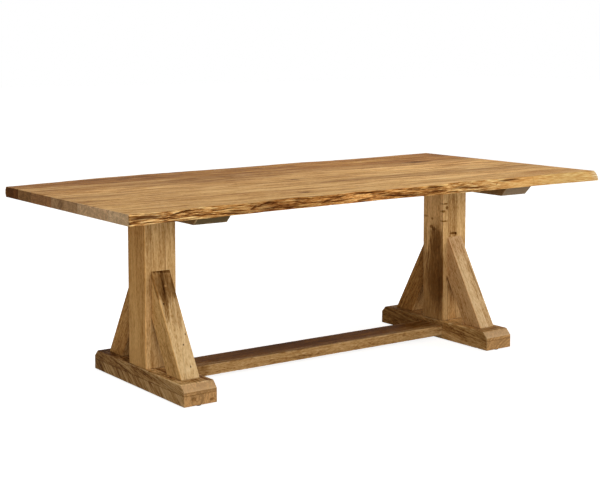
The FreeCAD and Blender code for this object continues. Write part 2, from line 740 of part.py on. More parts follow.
os.makedirs("parts", exist_ok=True)
for piece in nodes:
    piece.Shape.exportStep(f"parts/{piece.Label}.step")
box = Part.makeCompound([piece.Shape for piece in nodes]).BoundBox
print(f"{len(nodes)} nodes, {box.XLength:.1f} x {box.YLength:.1f} x {box.ZLength:.1f} mm")
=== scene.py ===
import json
import math

import bmesh
import bpy
from mathutils import Matrix, Vector, noise


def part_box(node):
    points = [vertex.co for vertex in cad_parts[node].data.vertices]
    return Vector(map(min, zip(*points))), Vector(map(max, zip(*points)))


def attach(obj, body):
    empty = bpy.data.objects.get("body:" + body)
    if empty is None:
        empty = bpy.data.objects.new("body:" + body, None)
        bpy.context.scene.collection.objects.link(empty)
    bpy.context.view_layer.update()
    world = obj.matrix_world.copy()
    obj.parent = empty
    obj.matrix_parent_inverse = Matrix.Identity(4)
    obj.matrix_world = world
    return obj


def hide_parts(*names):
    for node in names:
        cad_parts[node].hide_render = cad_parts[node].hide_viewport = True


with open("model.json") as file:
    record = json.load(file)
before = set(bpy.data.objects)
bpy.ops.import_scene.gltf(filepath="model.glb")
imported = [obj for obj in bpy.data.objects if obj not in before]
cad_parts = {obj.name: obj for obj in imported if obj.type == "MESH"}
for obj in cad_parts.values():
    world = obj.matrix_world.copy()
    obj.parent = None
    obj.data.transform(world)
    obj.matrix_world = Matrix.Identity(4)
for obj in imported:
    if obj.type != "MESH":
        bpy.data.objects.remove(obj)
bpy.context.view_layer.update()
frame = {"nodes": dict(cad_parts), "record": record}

# Trestle dining table with a live-edge top, in rustic maple
# Metres, with +X along the top, the front towards -Y and +Z up

X_AXIS, Y_AXIS, Z_AXIS = Vector((1, 0, 0)), Vector((0, 1, 0)), Vector((0, 0, 1))
SIDES = ("left", "right")

# Camera of the photograph, whose frame is 600 by 500
CAMERA_PLACE = Vector((-3.1466, -4.3347, 1.3236))
CAMERA_YAW = 0.6203
CAMERA_PITCH = 0.0913
CAMERA_LENS = 78.17
CAMERA_SHIFT = -0.15
CAMERA_SENSOR = 36
CAMERA_FAR = 100

# Studio: floor, its shade for light and for the camera, sky, and lamps with their place, size and power
FLOOR_SIZE = 60
FLOOR_SHADE = 0.8
FLOOR_GLOW = 0.86
FLOOR_SEEN_SHADE = 0.56
SKY_LIGHT = 0.32
AIM = Vector((0, 0, 0.45))
LAMPS = {
    "left_front": (Vector((-2.6, -6.2, 2.1)), 2.8, 172),
    "right_front": (Vector((4.6, -5.2, 2.1)), 2.8, 112),
    "right_low": (Vector((5.6, -2.6, 0.9)), 2.6, 100),
    "overhead": (Vector((0.5, 0.2, 6)), 3.5, 158),
}

# Places taken from the frame
TOP_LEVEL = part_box("top_board_3")[1].z
TRESTLE_X = {side: (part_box(f"{side}_post")[0].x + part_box(f"{side}_post")[1].x) / 2 for side in SIDES}
POST_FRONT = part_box("left_post")[0].y
POST_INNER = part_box("right_post")[0].x
FOOT_LOW = {side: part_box(f"{side}_foot")[0] for side in SIDES}
FOOT_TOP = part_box("left_foot")[1].z

# Woodwork: eased edges, the rim along them that wear reaches, and the rings of edges that carry the wear
EASE = 0.0018
EASE_STEPS = 3
RIM = 0.006
RING_STEP = 0.01
BOARD_RING_STEP = 0.03
WEAR_DEPTH = 0.0006
CHIP_DEPTH = 0.0022
CHIP_LEAST = 0.42
RUB_SCALE = 20
CHIP_SCALE = 75
WEAR_WAYS = (3.1, 1.7, 2.3)
SHARP_ANGLE = math.radians(50)
SEAM_EASE = 0.0003
END_EASE = 0.002
# What a place or a width is multiplied by to seed the wear of blocks and boards and the tears of live edges
BLOCK_SEEDS = 10
BOARD_SEEDS = 30
EDGE_SEEDS = 50

# Joinery of the trestles
FOOT_CHAMFER = 0.025
BRACE_FOOT = 0.104
BRACE_EASE = 0.0008
BRACE_WEAR = 0.3
TENON_WIDTH = 0.05
TENON_DEPTH = 0.07
TENON_CLEARANCE = 0.0002
COUNTERBORE_CLEARANCE = 0.0015
SCREW_CLEARANCE = 0.0005
SCREW_HEAD = 0.004
STEM_HEADROOM = 0.004
OVERRUN = 0.002
TOP_SCREW_INNER = 0.12

# Live edges: share of half the length from the middle, then the shares of the board's widest width that the
# upper and lower corners reach out from the seam
FRONT_WIDTH = 0.148
FRONT_EDGE_SHARES = [
    (-1, 1, 0.99), (-0.85, 0.96, 0.82), (-0.72, 0.78, 0.76), (-0.58, 0.77, 0.67), (-0.4, 0.56, 0.57),
    (-0.27, 0.64, 0.53), (-0.13, 0.47, 0.47), (0, 0.52, 0.4), (0.2, 0.44, 0.42), (0.35, 0.24, 0.45),
    (0.6, 0.33, 0.39), (0.8, 0.26, 0.39), (1, 0.28, 0.43),
]
BACK_WIDTH = 0.331
BACK_EDGE_SHARES = [
    (-1, 0.36, 0.37), (-0.87, 0.43, 0.45), (-0.67, 0.57, 0.55), (-0.47, 0.65, 0.62), (-0.26, 0.69, 0.67),
    (-0.04, 0.73, 0.74), (0.2, 0.81, 0.78), (0.32, 0.84, 0.82), (0.43, 0.82, 0.84), (0.69, 0.88, 0.86),
    (0.91, 0.96, 0.92), (1, 1, 0.95),
]
EDGE_STEP = 0.0035
EDGE_ROWS = 20
TOP_ROWS = 5
CORNER_ROUND = 0.008
CORNER_HOLD = 0.45
CORNER_SHARE = 0.12
BULGE = 0.006
PLAIN_ROUGHNESS = 0.12
FISSURE_TAIL = 0.1
FISSURE_SWAY = 0.07
SWAY_SCALES = (45, 9)
DARK_DEPTH = 0.0028
# Fine and coarse bites out of the corners: noise scales along the edge, from corner to corner and from board
# to board, then base and depth
NIBBLES = ((30, 4, 9, 0.2, 0.0026), (11, 6, 5, 0, 0.0045))
# Lumps: noise scales along and down the edge, seed, base and depth
LUMPS = (9, 30, 9, 0.3, 0.0025)
# Torn ridges and splinters: noise scales along and down the edge, climb and seed, then power and depth of
# the relief, and power and strength of its darkness
TEARS = ((6, 105, 5, 0, 3, 0.0028, 6, 0.45), (11, 300, 12, 5, 4, 0.0014, 8, 0.35))

# Fissures of the live edges: where each starts and ends along X, and how far down the edge, then its
# half width and depth
FRONT_FISSURES = [
    (-1.165, 0.34, -1.035, 0.4, 0.0095, 0.005), (-1.105, 0.8, -1.05, 0.82, 0.0027, 0.003),
    (-1.01, 0.42, -0.915, 0.04, 0.0047, 0.006), (-0.96, 0.62, -0.8, 0.66, 0.0024, 0.003),
    (-0.96, 0.92, -0.88, 0.9, 0.0024, 0.003), (-0.83, 0.4, -0.72, 0.3, 0.002, 0.003),
    (-0.8, 0.74, -0.7, 0.88, 0.0041, 0.0045), (-0.668, 0.62, -0.64, 0.32, 0.0074, 0.0065),
    (-0.65, 0.45, -0.56, 0.02, 0.0032, 0.005), (-0.56, 0.66, -0.4, 0.88, 0.0024, 0.003),
    (-0.47, 0.92, -0.38, 0.9, 0.0034, 0.0035), (-0.347, 0.7, -0.293, 0.38, 0.0061, 0.0055),
    (-0.3, 0.3, -0.224, 0.2, 0.0047, 0.004), (-0.2, 0.22, -0.035, 0.06, 0.0041, 0.005),
    (-0.17, 0.82, -0.1, 0.7, 0.0047, 0.0045), (-0.11, 0.36, 0.005, 0.33, 0.0027, 0.004),
    (-0.06, 0.52, 0.165, 0.92, 0.0057, 0.0055), (-0.01, 0.02, 0.045, 0.03, 0.0016, 0.002),
    (0.06, 0.12, 0.165, 0.24, 0.0022, 0.003), (0.17, 0.2, 0.268, 0.22, 0.0047, 0.005),
    (0.18, 0.6, 0.272, 0.62, 0.0041, 0.0045), (0.32, 0.52, 0.42, 0.5, 0.0034, 0.0035),
    (0.36, 0.56, 0.53, 0.66, 0.0041, 0.0035), (0.35, 0.9, 0.53, 0.92, 0.0027, 0.003),
    (0.556, 0.62, 0.575, 0.3, 0.0027, 0.0025), (0.58, 0.2, 0.7, 0.13, 0.006, 0.0027),
]
BACK_FISSURES = [
    (-1.1, 0.3, -0.9, 0.5, 0.0025, 0.004), (-0.85, 0.75, -0.64, 0.4, 0.0022, 0.0045),
    (-0.6, 0.2, -0.42, 0.35, 0.0018, 0.003), (-0.38, 0.8, -0.24, 0.6, 0.0028, 0.005),
    (-0.2, 0.45, 0.02, 0.15, 0.002, 0.004), (0.08, 0.7, 0.26, 0.82, 0.0022, 0.004),
    (0.3, 0.3, 0.52, 0.45, 0.002, 0.0035), (0.6, 0.75, 0.82, 0.55, 0.0025, 0.0045),
    (0.85, 0.3, 1.08, 0.2, 0.0018, 0.003),
]
# Where along X the rough part of each live edge fades into a smooth one
FRONT_SMOOTH = (0.3, 0.74)
BACK_SMOOTH = (1.3, 1.5)
# Lighter and darker stretches of each live edge: place along X, reach and tint
FRONT_SHADES = [
    (-1.02, 0.28, (1.4, 1.68, 2.2, 1)), (-0.6, 0.26, (0.67, 0.62, 0.63, 1)),
    (-0.12, 0.3, (1.24, 1.2, 1.23, 1)), (0.48, 0.35, (1.02, 1.17, 1.45, 1)),
    (1, 0.4, (0.9, 1.09, 1.32, 1)), (0.773, 0.006, (0.86, 0.81, 0.74, 1)),
    (1.16, 0.045, (1.1, 1.4, 2.3, 1)),
]
BACK_SHADES = [(-0.7, 0.3, (0.85, 0.85, 0.85, 1)), (0.5, 0.4, (1.15, 1.15, 1.15, 1))]

# Figure of the wood: scales along and across the grain, seed, detail and roughness of each noise
CLOUDS = (1.6, 13, 4, 3, 0.55)
MOTTLES = (3.6, 42, 15, 4, 0.7)
BANDS = (7, 95, 5, 3, 0.6)
FLECKS = (30, 290, 6, 2, 0.6)
SPECKS = (75, 210, 16, 2, 0.55)
FIBRES = (60, 1100, 7, 2, 0.6)
MINERAL = (1.1, 26, 8, 4, 0.65)
DRAWN = (2.4, 46, 17, 5, 0.7)
PORES = (420, 420, 13, 3, 0.65)
RUBBED_AND_HIGHLIT = (30, 30, 14, 2, 0.5)
RAGGED = (16, 110, 11, 4, 0.7)
# Ridges, patches, splinters and threads of the live edges, with scales along, across and through the board
LIVE_FIGURE = (
    ((9, 18, 150), 20, 4, 0.65), ((3.2, 8, 45), 21, 3, 0.6),
    ((19, 34, 420), 22, 3, 0.7), ((12, 24, 380), 23, 4, 0.7),
)
# How the fibres waver: scales along and across the grain, and sway
WANDERS = ((1.3, 7, 0.03), (9, 40, 0.005))
# Growth rings, worm pins and glued layers; a reach is where each is faint and where it is full
RING_DRAW = 0.05
RING_SPACING = 0.007
LATE_POWER = 5
LATE_TONE = -0.8
END_RINGS = 1.2
PIN_CELL = (3, 17, 17)
PIN_REACH = (0.0026, 0.0014)
FLAME_REACH = (0.26, 0.04)
FLAME_SHARE = 0.6
GLUE_REACH = (0.0024, 0.0008)
GLUE_SHARE = 0.7
LAYER_SHIFT = (0.83, 0.031, 0.046)
# How far each step of a seed moves a noise
SEED_WAYS = (7.3, 3.9, 5.1)
# Gains of the finer figure, and the spans of noise that the mineral streaks and the pale edges, rubbed and
# with a painted highlight, take up
BAND_GAIN = 1.1
SPECK_GAIN = 0.9
FIBRE_GAIN = 0.6
MINERAL_SPAN = (0.56, 0.72)
DRAWN_SPAN = (0.53, 0.58)
RUBBED_AND_HIGHLIT_SPAN = (0.42, 0.66)
RUBBED_AND_HIGHLIT_SHARE = 0.42
# How nearly a face looks along the grain where it counts as cut on a slant or as an end, and the shades of
# each cut: darkest, lightest and open pores
SLANT_FACING = (0.5, 0.62)
END_FACING = (0.82, 0.92)
SLANT_SHADES = (0.9, 1.08, 0.94)
END_SHADES = (0.7, 1.2, 0.74)
CUT_TONES = (0.15, 0.85)
PORE_SPAN = (0.3, 0.6)
PORE_FREE = 1.06
# How washes and marks fade out in radii, and how far a mark's outline is ragged
WASH_FADE = (1, 0.6)
MARK_FADE = (1.15, 0.6)
MARK_SWELL = 1.3
# Tones of the live edges: base, what roughness adds to the gain and what a plain part has, shares of the
# figure, threads and fissures
LIVE_BASE = 0.56
LIVE_GAIN = (1.15, 0.75)
LIVE_SHARES = (0.6, 0.7, 2.1)
PLAIN_TONE = 0.13
THREAD_SPAN = (0.5, 0.61, 0, 0.8)
CAVITY_SPAN = (0.25, 0.95, 0, 0.92)
# Stops of the tones, and the finish: shine, roughness and relief
TONE_STOPS = (0, 0.28, 0.5, 0.72, 1)
LIVE_STOPS = (0, 0.28, 0.52, 0.75, 1)
WOOD_SHINE = 0.01
SATIN_SPAN = (0.3, 0.7, 0.56, 0.44)
SLANT_ROUGHNESS = 0.14
LIVE_ROUGHNESS = 0.16
FIBRE_HEIGHT = 0.3
FLECK_HEIGHT = 0.7
PIN_HEIGHT = -1.5
RIDGE_HEIGHT = 2
WOOD_LIFT = 0.00025
FITTING_LIFT = 0.0001
# How deep a wash on a face reaches, a radius beyond the piece, and the lines at seams and joints; the joint
# lines are dirt and painted contact shadow
FACE_DEPTH = 0.004
WHOLE = 9
SEAM_WIDTH = 0.0011
SEAM_SHARE = 0.7
SEAM_END_REACH = (0.005, 0.004, 0.03)
SEAM_END_SHARE = 0.3
JOINT_WIDTH = 0.004
JOINT_SHARE = 0.75
TRESTLE_SEEDS = {"left": 71, "right": 85}


def srgb(red, green, blue):
    """A colour given from 0 to 255, as the linear one that a shader takes."""
    shares = [value / 255 for value in (red, green, blue)]
    return (*[s / 12.92 if s <= 0.04045 else ((s + 0.055) / 1.055) ** 2.4 for s in shares], 1)


def smooth(value, low, high):
    share = min(max((value - low) / (high - low), 0), 1)
    return share * share * (3 - 2 * share)


def lerp(a, b, share):
    return a + (b - a) * share


# Meshes

def new_object(name, mesh):
    made = bpy.data.objects.new(name, mesh)
    bpy.context.scene.collection.objects.link(made)
    return made


def finish_mesh(bm, name):
    mesh = bpy.data.meshes.new(name)
    bm.to_mesh(mesh)
    bm.free()
    return mesh


def rectangle(low, high, across, up):
    corners = ((low, low), (high, low), (high, high), (low, high))
    return [(a[across], b[up]) for a, b in corners]


def prism(profile, axes, low, high):
    """A prism on a convex profile, with the middle and the outward direction of each of its sides."""
    bm = bmesh.new()
    across, up, along = axes

    def corner(a, b, c):
        place = [0, 0, 0]
        place[across], place[up], place[along] = a, b, c
        return bm.verts.new(place)

    near = [corner(a, b, low) for a, b in profile]
    far = [corner(a, b, high) for a, b in profile]
    bm.faces.new(near)
    bm.faces.new(far)
    for i in range(len(profile)):
        j = (i + 1) % len(profile)
        bm.faces.new((near[i], near[j], far[j], far[i]))
    bmesh.ops.recalc_face_normals(bm, faces=bm.faces[:])
    bm.normal_update()
    sides = [(face.calc_center_median(), face.normal.copy()) for face in bm.faces]
    return bm, sides


def ease_edges(bm, edges, width, steps=EASE_STEPS):
    bmesh.ops.bevel(
        bm, geom=edges, offset=width, segments=steps, profile=0.5, affect="EDGES", clamp_overlap=True
    )


def slice_through(bm, point, direction):
    everything = bm.verts[:] + bm.edges[:] + bm.faces[:]
    bmesh.ops.bisect_plane(bm, geom=everything, dist=1e-6, plane_co=point, plane_no=direction)


def add_rings(bm, sides, along, step=RING_STEP):
    """Rings of edges across the length, and a line of them along each rim."""
    for middle, outward in sides:
        slice_through(bm, middle - outward * RIM, outward)
    low = min(v.co[along] for v in bm.verts)
    high = max(v.co[along] for v in bm.verts)
    direction = (X_AXIS, Y_AXIS, Z_AXIS)[along]
    count = int((high - low) / step)
    for i in range(1, count):
        slice_through(bm, direction * lerp(low, high, i / count), direction)


def edge_nearness(place, sides):
    """From 0 within a side to 1 at the edge where two sides meet."""
    depths = sorted((middle - place).dot(outward) for middle, outward in sides)
    return 1 - smooth(depths[1], EASE, RIM)


def wear(bm, sides, seed, amount=1):
    """Uneven edges: a wavering round and a few small chips."""
    bm.normal_update()
    shift = Vector([seed * way for way in WEAR_WAYS])
    moves = []
    for vert in bm.verts:
        nearness = edge_nearness(vert.co, sides)
        rub = max(0, noise.noise(vert.co * RUB_SCALE + shift)) * WEAR_DEPTH
        chip = max(0, noise.noise(vert.co * CHIP_SCALE + shift) - CHIP_LEAST) * CHIP_DEPTH
        moves.append(vert.normal * (-amount * nearness * (rub + chip)))
    for vert, move in zip(bm.verts, moves):
        vert.co += move


def cylinder(bm, x, y, low, high, radius, sides=40):
    middle = Matrix.Translation((x, y, (low + high) / 2))
    bmesh.ops.create_cone(
        bm, cap_ends=True, segments=sides, radius1=radius, radius2=radius, depth=high - low, matrix=middle
    )


def box(bm, low, high):
    size = Matrix.Diagonal((*(Vector(high) - Vector(low)), 1))
    bmesh.ops.create_cube(bm, size=1, matrix=Matrix.Translation((Vector(low) + Vector(high)) / 2) @ size)


def pit(bm, place, radii):
    """A long rounded hollow, such as a check."""
    matrix = Matrix.Translation(place) @ Matrix.Diagonal((*radii, 1))
    bmesh.ops.create_icosphere(bm, subdivisions=3, radius=1, matrix=matrix)


def combine(piece, bm, operation):
    """Cuts a tool away from a piece, or joins it on."""
    tool = new_object("tool", finish_mesh(bm, "tool"))
    step = piece.modifiers.new("step", "BOOLEAN")
    step.object = tool
    step.operation = operation
    step.solver = "EXACT"
    graph = bpy.context.evaluated_depsgraph_get()
    mesh = bpy.data.meshes.new_from_object(piece.evaluated_get(graph))
    piece.modifiers.clear()
    old = piece.data
    piece.data = mesh
    bpy.data.meshes.remove(old)
    bpy.data.meshes.remove(tool.data)


def mark_edges(piece, sides):
    attribute = piece.data.attributes.new("arris", "FLOAT", "POINT")
    values = [edge_nearness(vert.co, sides) for vert in piece.data.vertices]
    attribute.data.foreach_set("value", values)


def dress(piece, node, material):
    """Shading, material and the CAD node that a finished wooden piece stands for."""
    mesh = piece.data
    mesh.name = piece.name
    mesh.materials.clear()
    mesh.materials.append(material)
    mesh.shade_smooth()
    mesh.set_sharp_from_angle(angle=SHARP_ANGLE)
    weighted = piece.modifiers.new("weighted_normals", "WEIGHTED_NORMAL")
    weighted.keep_sharp = True
    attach(piece, "table")
    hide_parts(node)


def block(node, profile, axes, low, high, length_axis, material, joins=None, cuts=None, ease=EASE, worn=1):
    """A worn wooden block that stands for a CAD node; joins and cuts add to the tools that shape it."""
    bm, sides = prism(profile, axes, low, high)
    ease_edges(bm, bm.edges[:], ease)
    add_rings(bm, sides, length_axis)
    wear(bm, sides, len(node) + low * BLOCK_SEEDS, worn)
    piece = new_object(f"{node}_wood", finish_mesh(bm, node))
    for shape, operation in ((joins, "UNION"), (cuts, "DIFFERENCE")):
        if shape:
            tool = bmesh.new()
            shape(tool)
            combine(piece, tool, operation)
    mark_edges(piece, sides)
    dress(piece, node, material)


# Procedural materials

class Graph:
    """Short calls that add nodes to a material or a world and link them."""

    def __init__(self, owner):
        owner.use_nodes = True
        self.owner = owner
        self.tree = owner.node_tree
        self.tree.nodes.clear()

    def node(self, kind, inputs=(), **settings):
        """The outputs of a new node, whose inputs are given in their order, or by name or number."""
        made = self.tree.nodes.new(kind)
        for key, value in settings.items():
            setattr(made, key, value)
        for key, value in inputs.items() if isinstance(inputs, dict) else enumerate(inputs):
            if isinstance(value, bpy.types.NodeSocket):
                self.tree.links.new(value, made.inputs[key])
            elif value is not None:
                made.inputs[key].default_value = value
        return made.outputs

    def math(self, operation, a, b=None, c=None):
        return self.node("ShaderNodeMath", (a, b, c), operation=operation)[0]

    def times(self, a, b):
        return self.math("MULTIPLY", a, b)

    def minus(self, a, b):
        return self.math("SUBTRACT", a, b)

    def scale_add(self, value, gain, base):
        return self.math("MULTIPLY_ADD", value, gain, base)

    def vector(self, operation, a, b=None, output="Vector"):
        return self.node("ShaderNodeVectorMath", (a, b), operation=operation)[output]

    def dot(self, a, b):
        return self.vector("DOT_PRODUCT", a, b, "Value")

    def length(self, a):
        return self.vector("LENGTH", a, output="Value")

    def distance(self, place, centre, radii):
        """How far a place is from a centre, counted in radii."""
        return self.length(self.vector("DIVIDE", self.vector("SUBTRACT", place, centre), radii))

    def together(self, x, y, z):
        return self.node("ShaderNodeCombineXYZ", (x, y, z))[0]

    def place(self):
        return self.node("ShaderNodeTexCoord")["Object"]

    def attribute(self, name):
        return self.node("ShaderNodeAttribute", attribute_name=name)["Fac"]

    def stretched(self, place, scales, seed):
        """A place scaled along each direction and moved on by a seed."""
        return self.vector("ADD", self.vector("MULTIPLY", place, scales), [seed * way for way in SEED_WAYS])

    def noise(self, place, scales, seed, detail, roughness, output="Fac"):
        place = self.stretched(place, scales, seed)
        inputs = {"Vector": place, "Scale": 1, "Detail": detail, "Roughness": roughness}
        return self.node("ShaderNodeTexNoise", inputs, noise_dimensions="3D")[output]

    def spread(self, value, low, high, to_low=0, to_high=1):
        inputs = (value, low, high, to_low, to_high)
        return self.node("ShaderNodeMapRange", inputs, interpolation_type="SMOOTHSTEP", clamp=True)[0]

    def ramp(self, value, stops):
        colour = self.node("ShaderNodeValToRGB", (value,))[0]
        elements = colour.node.color_ramp.elements
        while len(elements) < len(stops):
            elements.new(0.5)
        for element, (position, tone) in zip(elements, stops):
            element.position = position
            element.color = tone
        return colour

    def mix(self, share, a, b, blend="MIX"):
        return self.node("ShaderNodeMix", {0: share, 6: a, 7: b}, data_type="RGBA", blend_type=blend)[2]

    def seen(self):
        """1 where the camera looks, by itself, in a reflection or through glass, and 0 for other light."""
        ray = self.node("ShaderNodeLightPath")
        either = self.math("MAXIMUM", ray["Is Camera Ray"], ray["Is Glossy Ray"])
        return self.math("MAXIMUM", either, ray["Is Transmission Ray"])

    def surface(self, colour, roughness, height, lift, metallic=0, shine=0.5):
        normal = self.node("ShaderNodeBump", {"Distance": lift, "Height": height})[0]
        shader = self.node("ShaderNodeBsdfPrincipled", {
            "Base Color": colour, "Roughness": roughness, "Metallic": metallic, "Specular IOR Level": shine,
            "Normal": normal,
        })
        self.node("ShaderNodeOutputMaterial", {"Surface": shader[0]})
        return self.owner


def tone_ramp(*colours, stops=TONE_STOPS):
    return [(stop, srgb(*colour)) for stop, colour in zip(stops, colours)]


def tinted(tones, *tint):
    return [(stop, (*[part * share for part, share in zip(colour, tint)], 1)) for stop, colour in tones]


# Tones of the wood, from its dark streaks to its pale ones
TOP_TONES = tone_ramp((106, 66, 28), (152, 105, 51), (187, 141, 81), (204, 160, 99), (224, 187, 129))
BACK_TONES = tone_ramp((82, 44, 14), (122, 73, 26), (150, 97, 42), (169, 117, 57), (192, 144, 81))
TRESTLE_TONES = tone_ramp((94, 56, 22), (146, 104, 56), (178, 138, 86), (196, 157, 104), (216, 182, 134))
PALE_TONES = tone_ramp((116, 76, 34), (176, 136, 84), (208, 173, 121), (219, 188, 139), (232, 206, 162))
# Tones for the bearers, darkened as painted shade for the shade under the top
BEARER_TONES_IN_PAINTED_SHADE = tone_ramp((58, 38, 16), (94, 68, 38), (116, 88, 52), (136, 106, 68), (160, 130, 90))
LIVE_TONES = tone_ramp(
    (70, 36, 12), (130, 78, 32), (176, 118, 58), (200, 146, 80), (224, 182, 114), stops=LIVE_STOPS
)
POST_TONES = tinted(TRESTLE_TONES, 1.14, 1.21, 1.32)
STRETCHER_TONES = tinted(TRESTLE_TONES, 0.84, 0.84, 0.84)
FISSURE = srgb(76, 37, 7)
PIN = srgb(34, 20, 10)
# Pale edges: wear and a painted highlight along the arrises
WORN_AND_HIGHLIT_EDGE = srgb(214, 180, 132)

# End grain
TAN_END = srgb(182, 146, 102)
FOOT_END = srgb(176, 134, 85)
# Paler chamfers of the feet: partly wood cut on a slant, partly a painted light on faces that turn up towards
# the lamps
FOOT_CHAMFER_ENDS = {"left": srgb(204, 165, 118), "right": srgb(188, 155, 116)}
# Ends of the bearers in painted shade, for the shade under the top, the left one darker
BEARER_ENDS_IN_PAINTED_SHADE = {"left": srgb(92, 77, 52), "right": srgb(124, 105, 82)}

# What a stain leaves of the colour under it; the streak and stain tints also serve as painted shade, and the
# pale tints also serve as painted light
STREAK_AND_PAINTED_SHADE = (0.52, 0.44, 0.34, 1)
STAIN_AND_PAINTED_SHADE = (0.28, 0.17, 0.03, 1)
# A painted shade, for the stretcher's top in the shade of the table
PAINTED_SHADE_UMBER = (0.46, 0.3, 0.03, 1)
RUSSET = (0.66, 0.5, 0.4, 1)
CHECK = (0.07, 0.05, 0.04, 1)
PALE = (1.3, 1.34, 1.42, 1)
# A painted light, for the tops of the feet in the shade of the table
FOOT_TOP_PAINTED_LIGHT = (1.75, 2, 2.25, 1)
BLEACH = (1.9, 2.1, 2.5, 1)


class Grain:
    """How the wood of a piece lies: its middle, the directions along, across and through it, the heart of
    the tree, given across and through from the middle, and how steeply the figure of its lowest layer runs
    out of the piece."""

    def __init__(self, middle, along, across, heart, seed, runout=0):
        self.middle = Vector(middle)
        self.along = Vector(along).normalized()
        self.through = self.along.cross(Vector(across)).normalized()
        self.across = self.through.cross(self.along)
        self.heart = heart
        self.seed = seed
        self.runout = runout

    def ways(self):
        return self.along, self.across, self.through

    def figure(self, g, place, along, across, seed, detail, roughness):
        return g.noise(place, (along, across, across), self.seed + seed, detail, roughness)


def laminations(g, grain, place, local, straight, layers):
    """Where a point of a glued piece lies in its own tree, the step in tone of its layer, and how near it is
    to a glue line."""
    lie, tone, glue, runout = straight, 0, 0, grain.runout
    for way, level, step in layers:
        off = g.minus(g.dot(place, way), level)
        above = g.math("GREATER_THAN", off, 0)
        glue = g.math("MAXIMUM", glue, g.spread(g.math("ABSOLUTE", off), *GLUE_REACH))
        lie = g.vector("ADD", lie, g.together(*[g.times(above, shift) for shift in LAYER_SHIFT]))
        tone = g.scale_add(above, step, tone)
        runout = g.scale_add(above, -grain.runout, runout)
    drift = g.times(g.dot(local, grain.along), runout)
    return g.vector("ADD", lie, g.together(0, 0, drift)), tone, glue


def wavering(g, grain, lie):
    """A place in the tree, bent as the fibres waver."""
    bent = lie
    for along, across, sway in WANDERS:
        wander = g.noise(lie, (along, across, across), grain.seed, 2, 0.5, "Color")
        wander = g.vector("SUBTRACT", wander, (0.5, 0.5, 0.5))
        bent = g.vector("ADD", bent, g.vector("MULTIPLY", wander, (0, sway, sway)))
    return bent


def growth_rings(g, grain, bent):
    """The tone of the growth rings: nested shells round the heart, drawn out along the grain."""
    from_heart = g.vector("MULTIPLY", g.vector("SUBTRACT", bent, (0, *grain.heart)), (RING_DRAW, 1, 1))
    count = g.math("DIVIDE", g.length(from_heart), RING_SPACING)
    ring = g.node("ShaderNodeTexWhiteNoise", {"W": g.math("FLOOR", count)}, noise_dimensions="1D")["Value"]
    late = g.math("POWER", g.math("FRACT", count), LATE_POWER)
    return g.scale_add(late, LATE_TONE, g.minus(ring, 0.5))


def worm_pins(g, grain, lie, share):
    """Worm pins in a share of the cells of the wood, and the short dark flame round each."""
    place = g.stretched(lie, PIN_CELL, grain.seed + 9)
    cells = g.node("ShaderNodeTexVoronoi", {"Vector": place, "Scale": 1}, voronoi_dimensions="3D")
    chance = g.node("ShaderNodeSeparateColor", (cells["Color"],))[0]
    chosen = g.math("LESS_THAN", chance, share)
    flame = g.times(g.spread(cells["Distance"], *FLAME_REACH), g.times(chosen, FLAME_SHARE))
    away = g.distance(place, cells["Position"], PIN_CELL)
    return g.times(g.spread(away, *PIN_REACH), chosen), flame


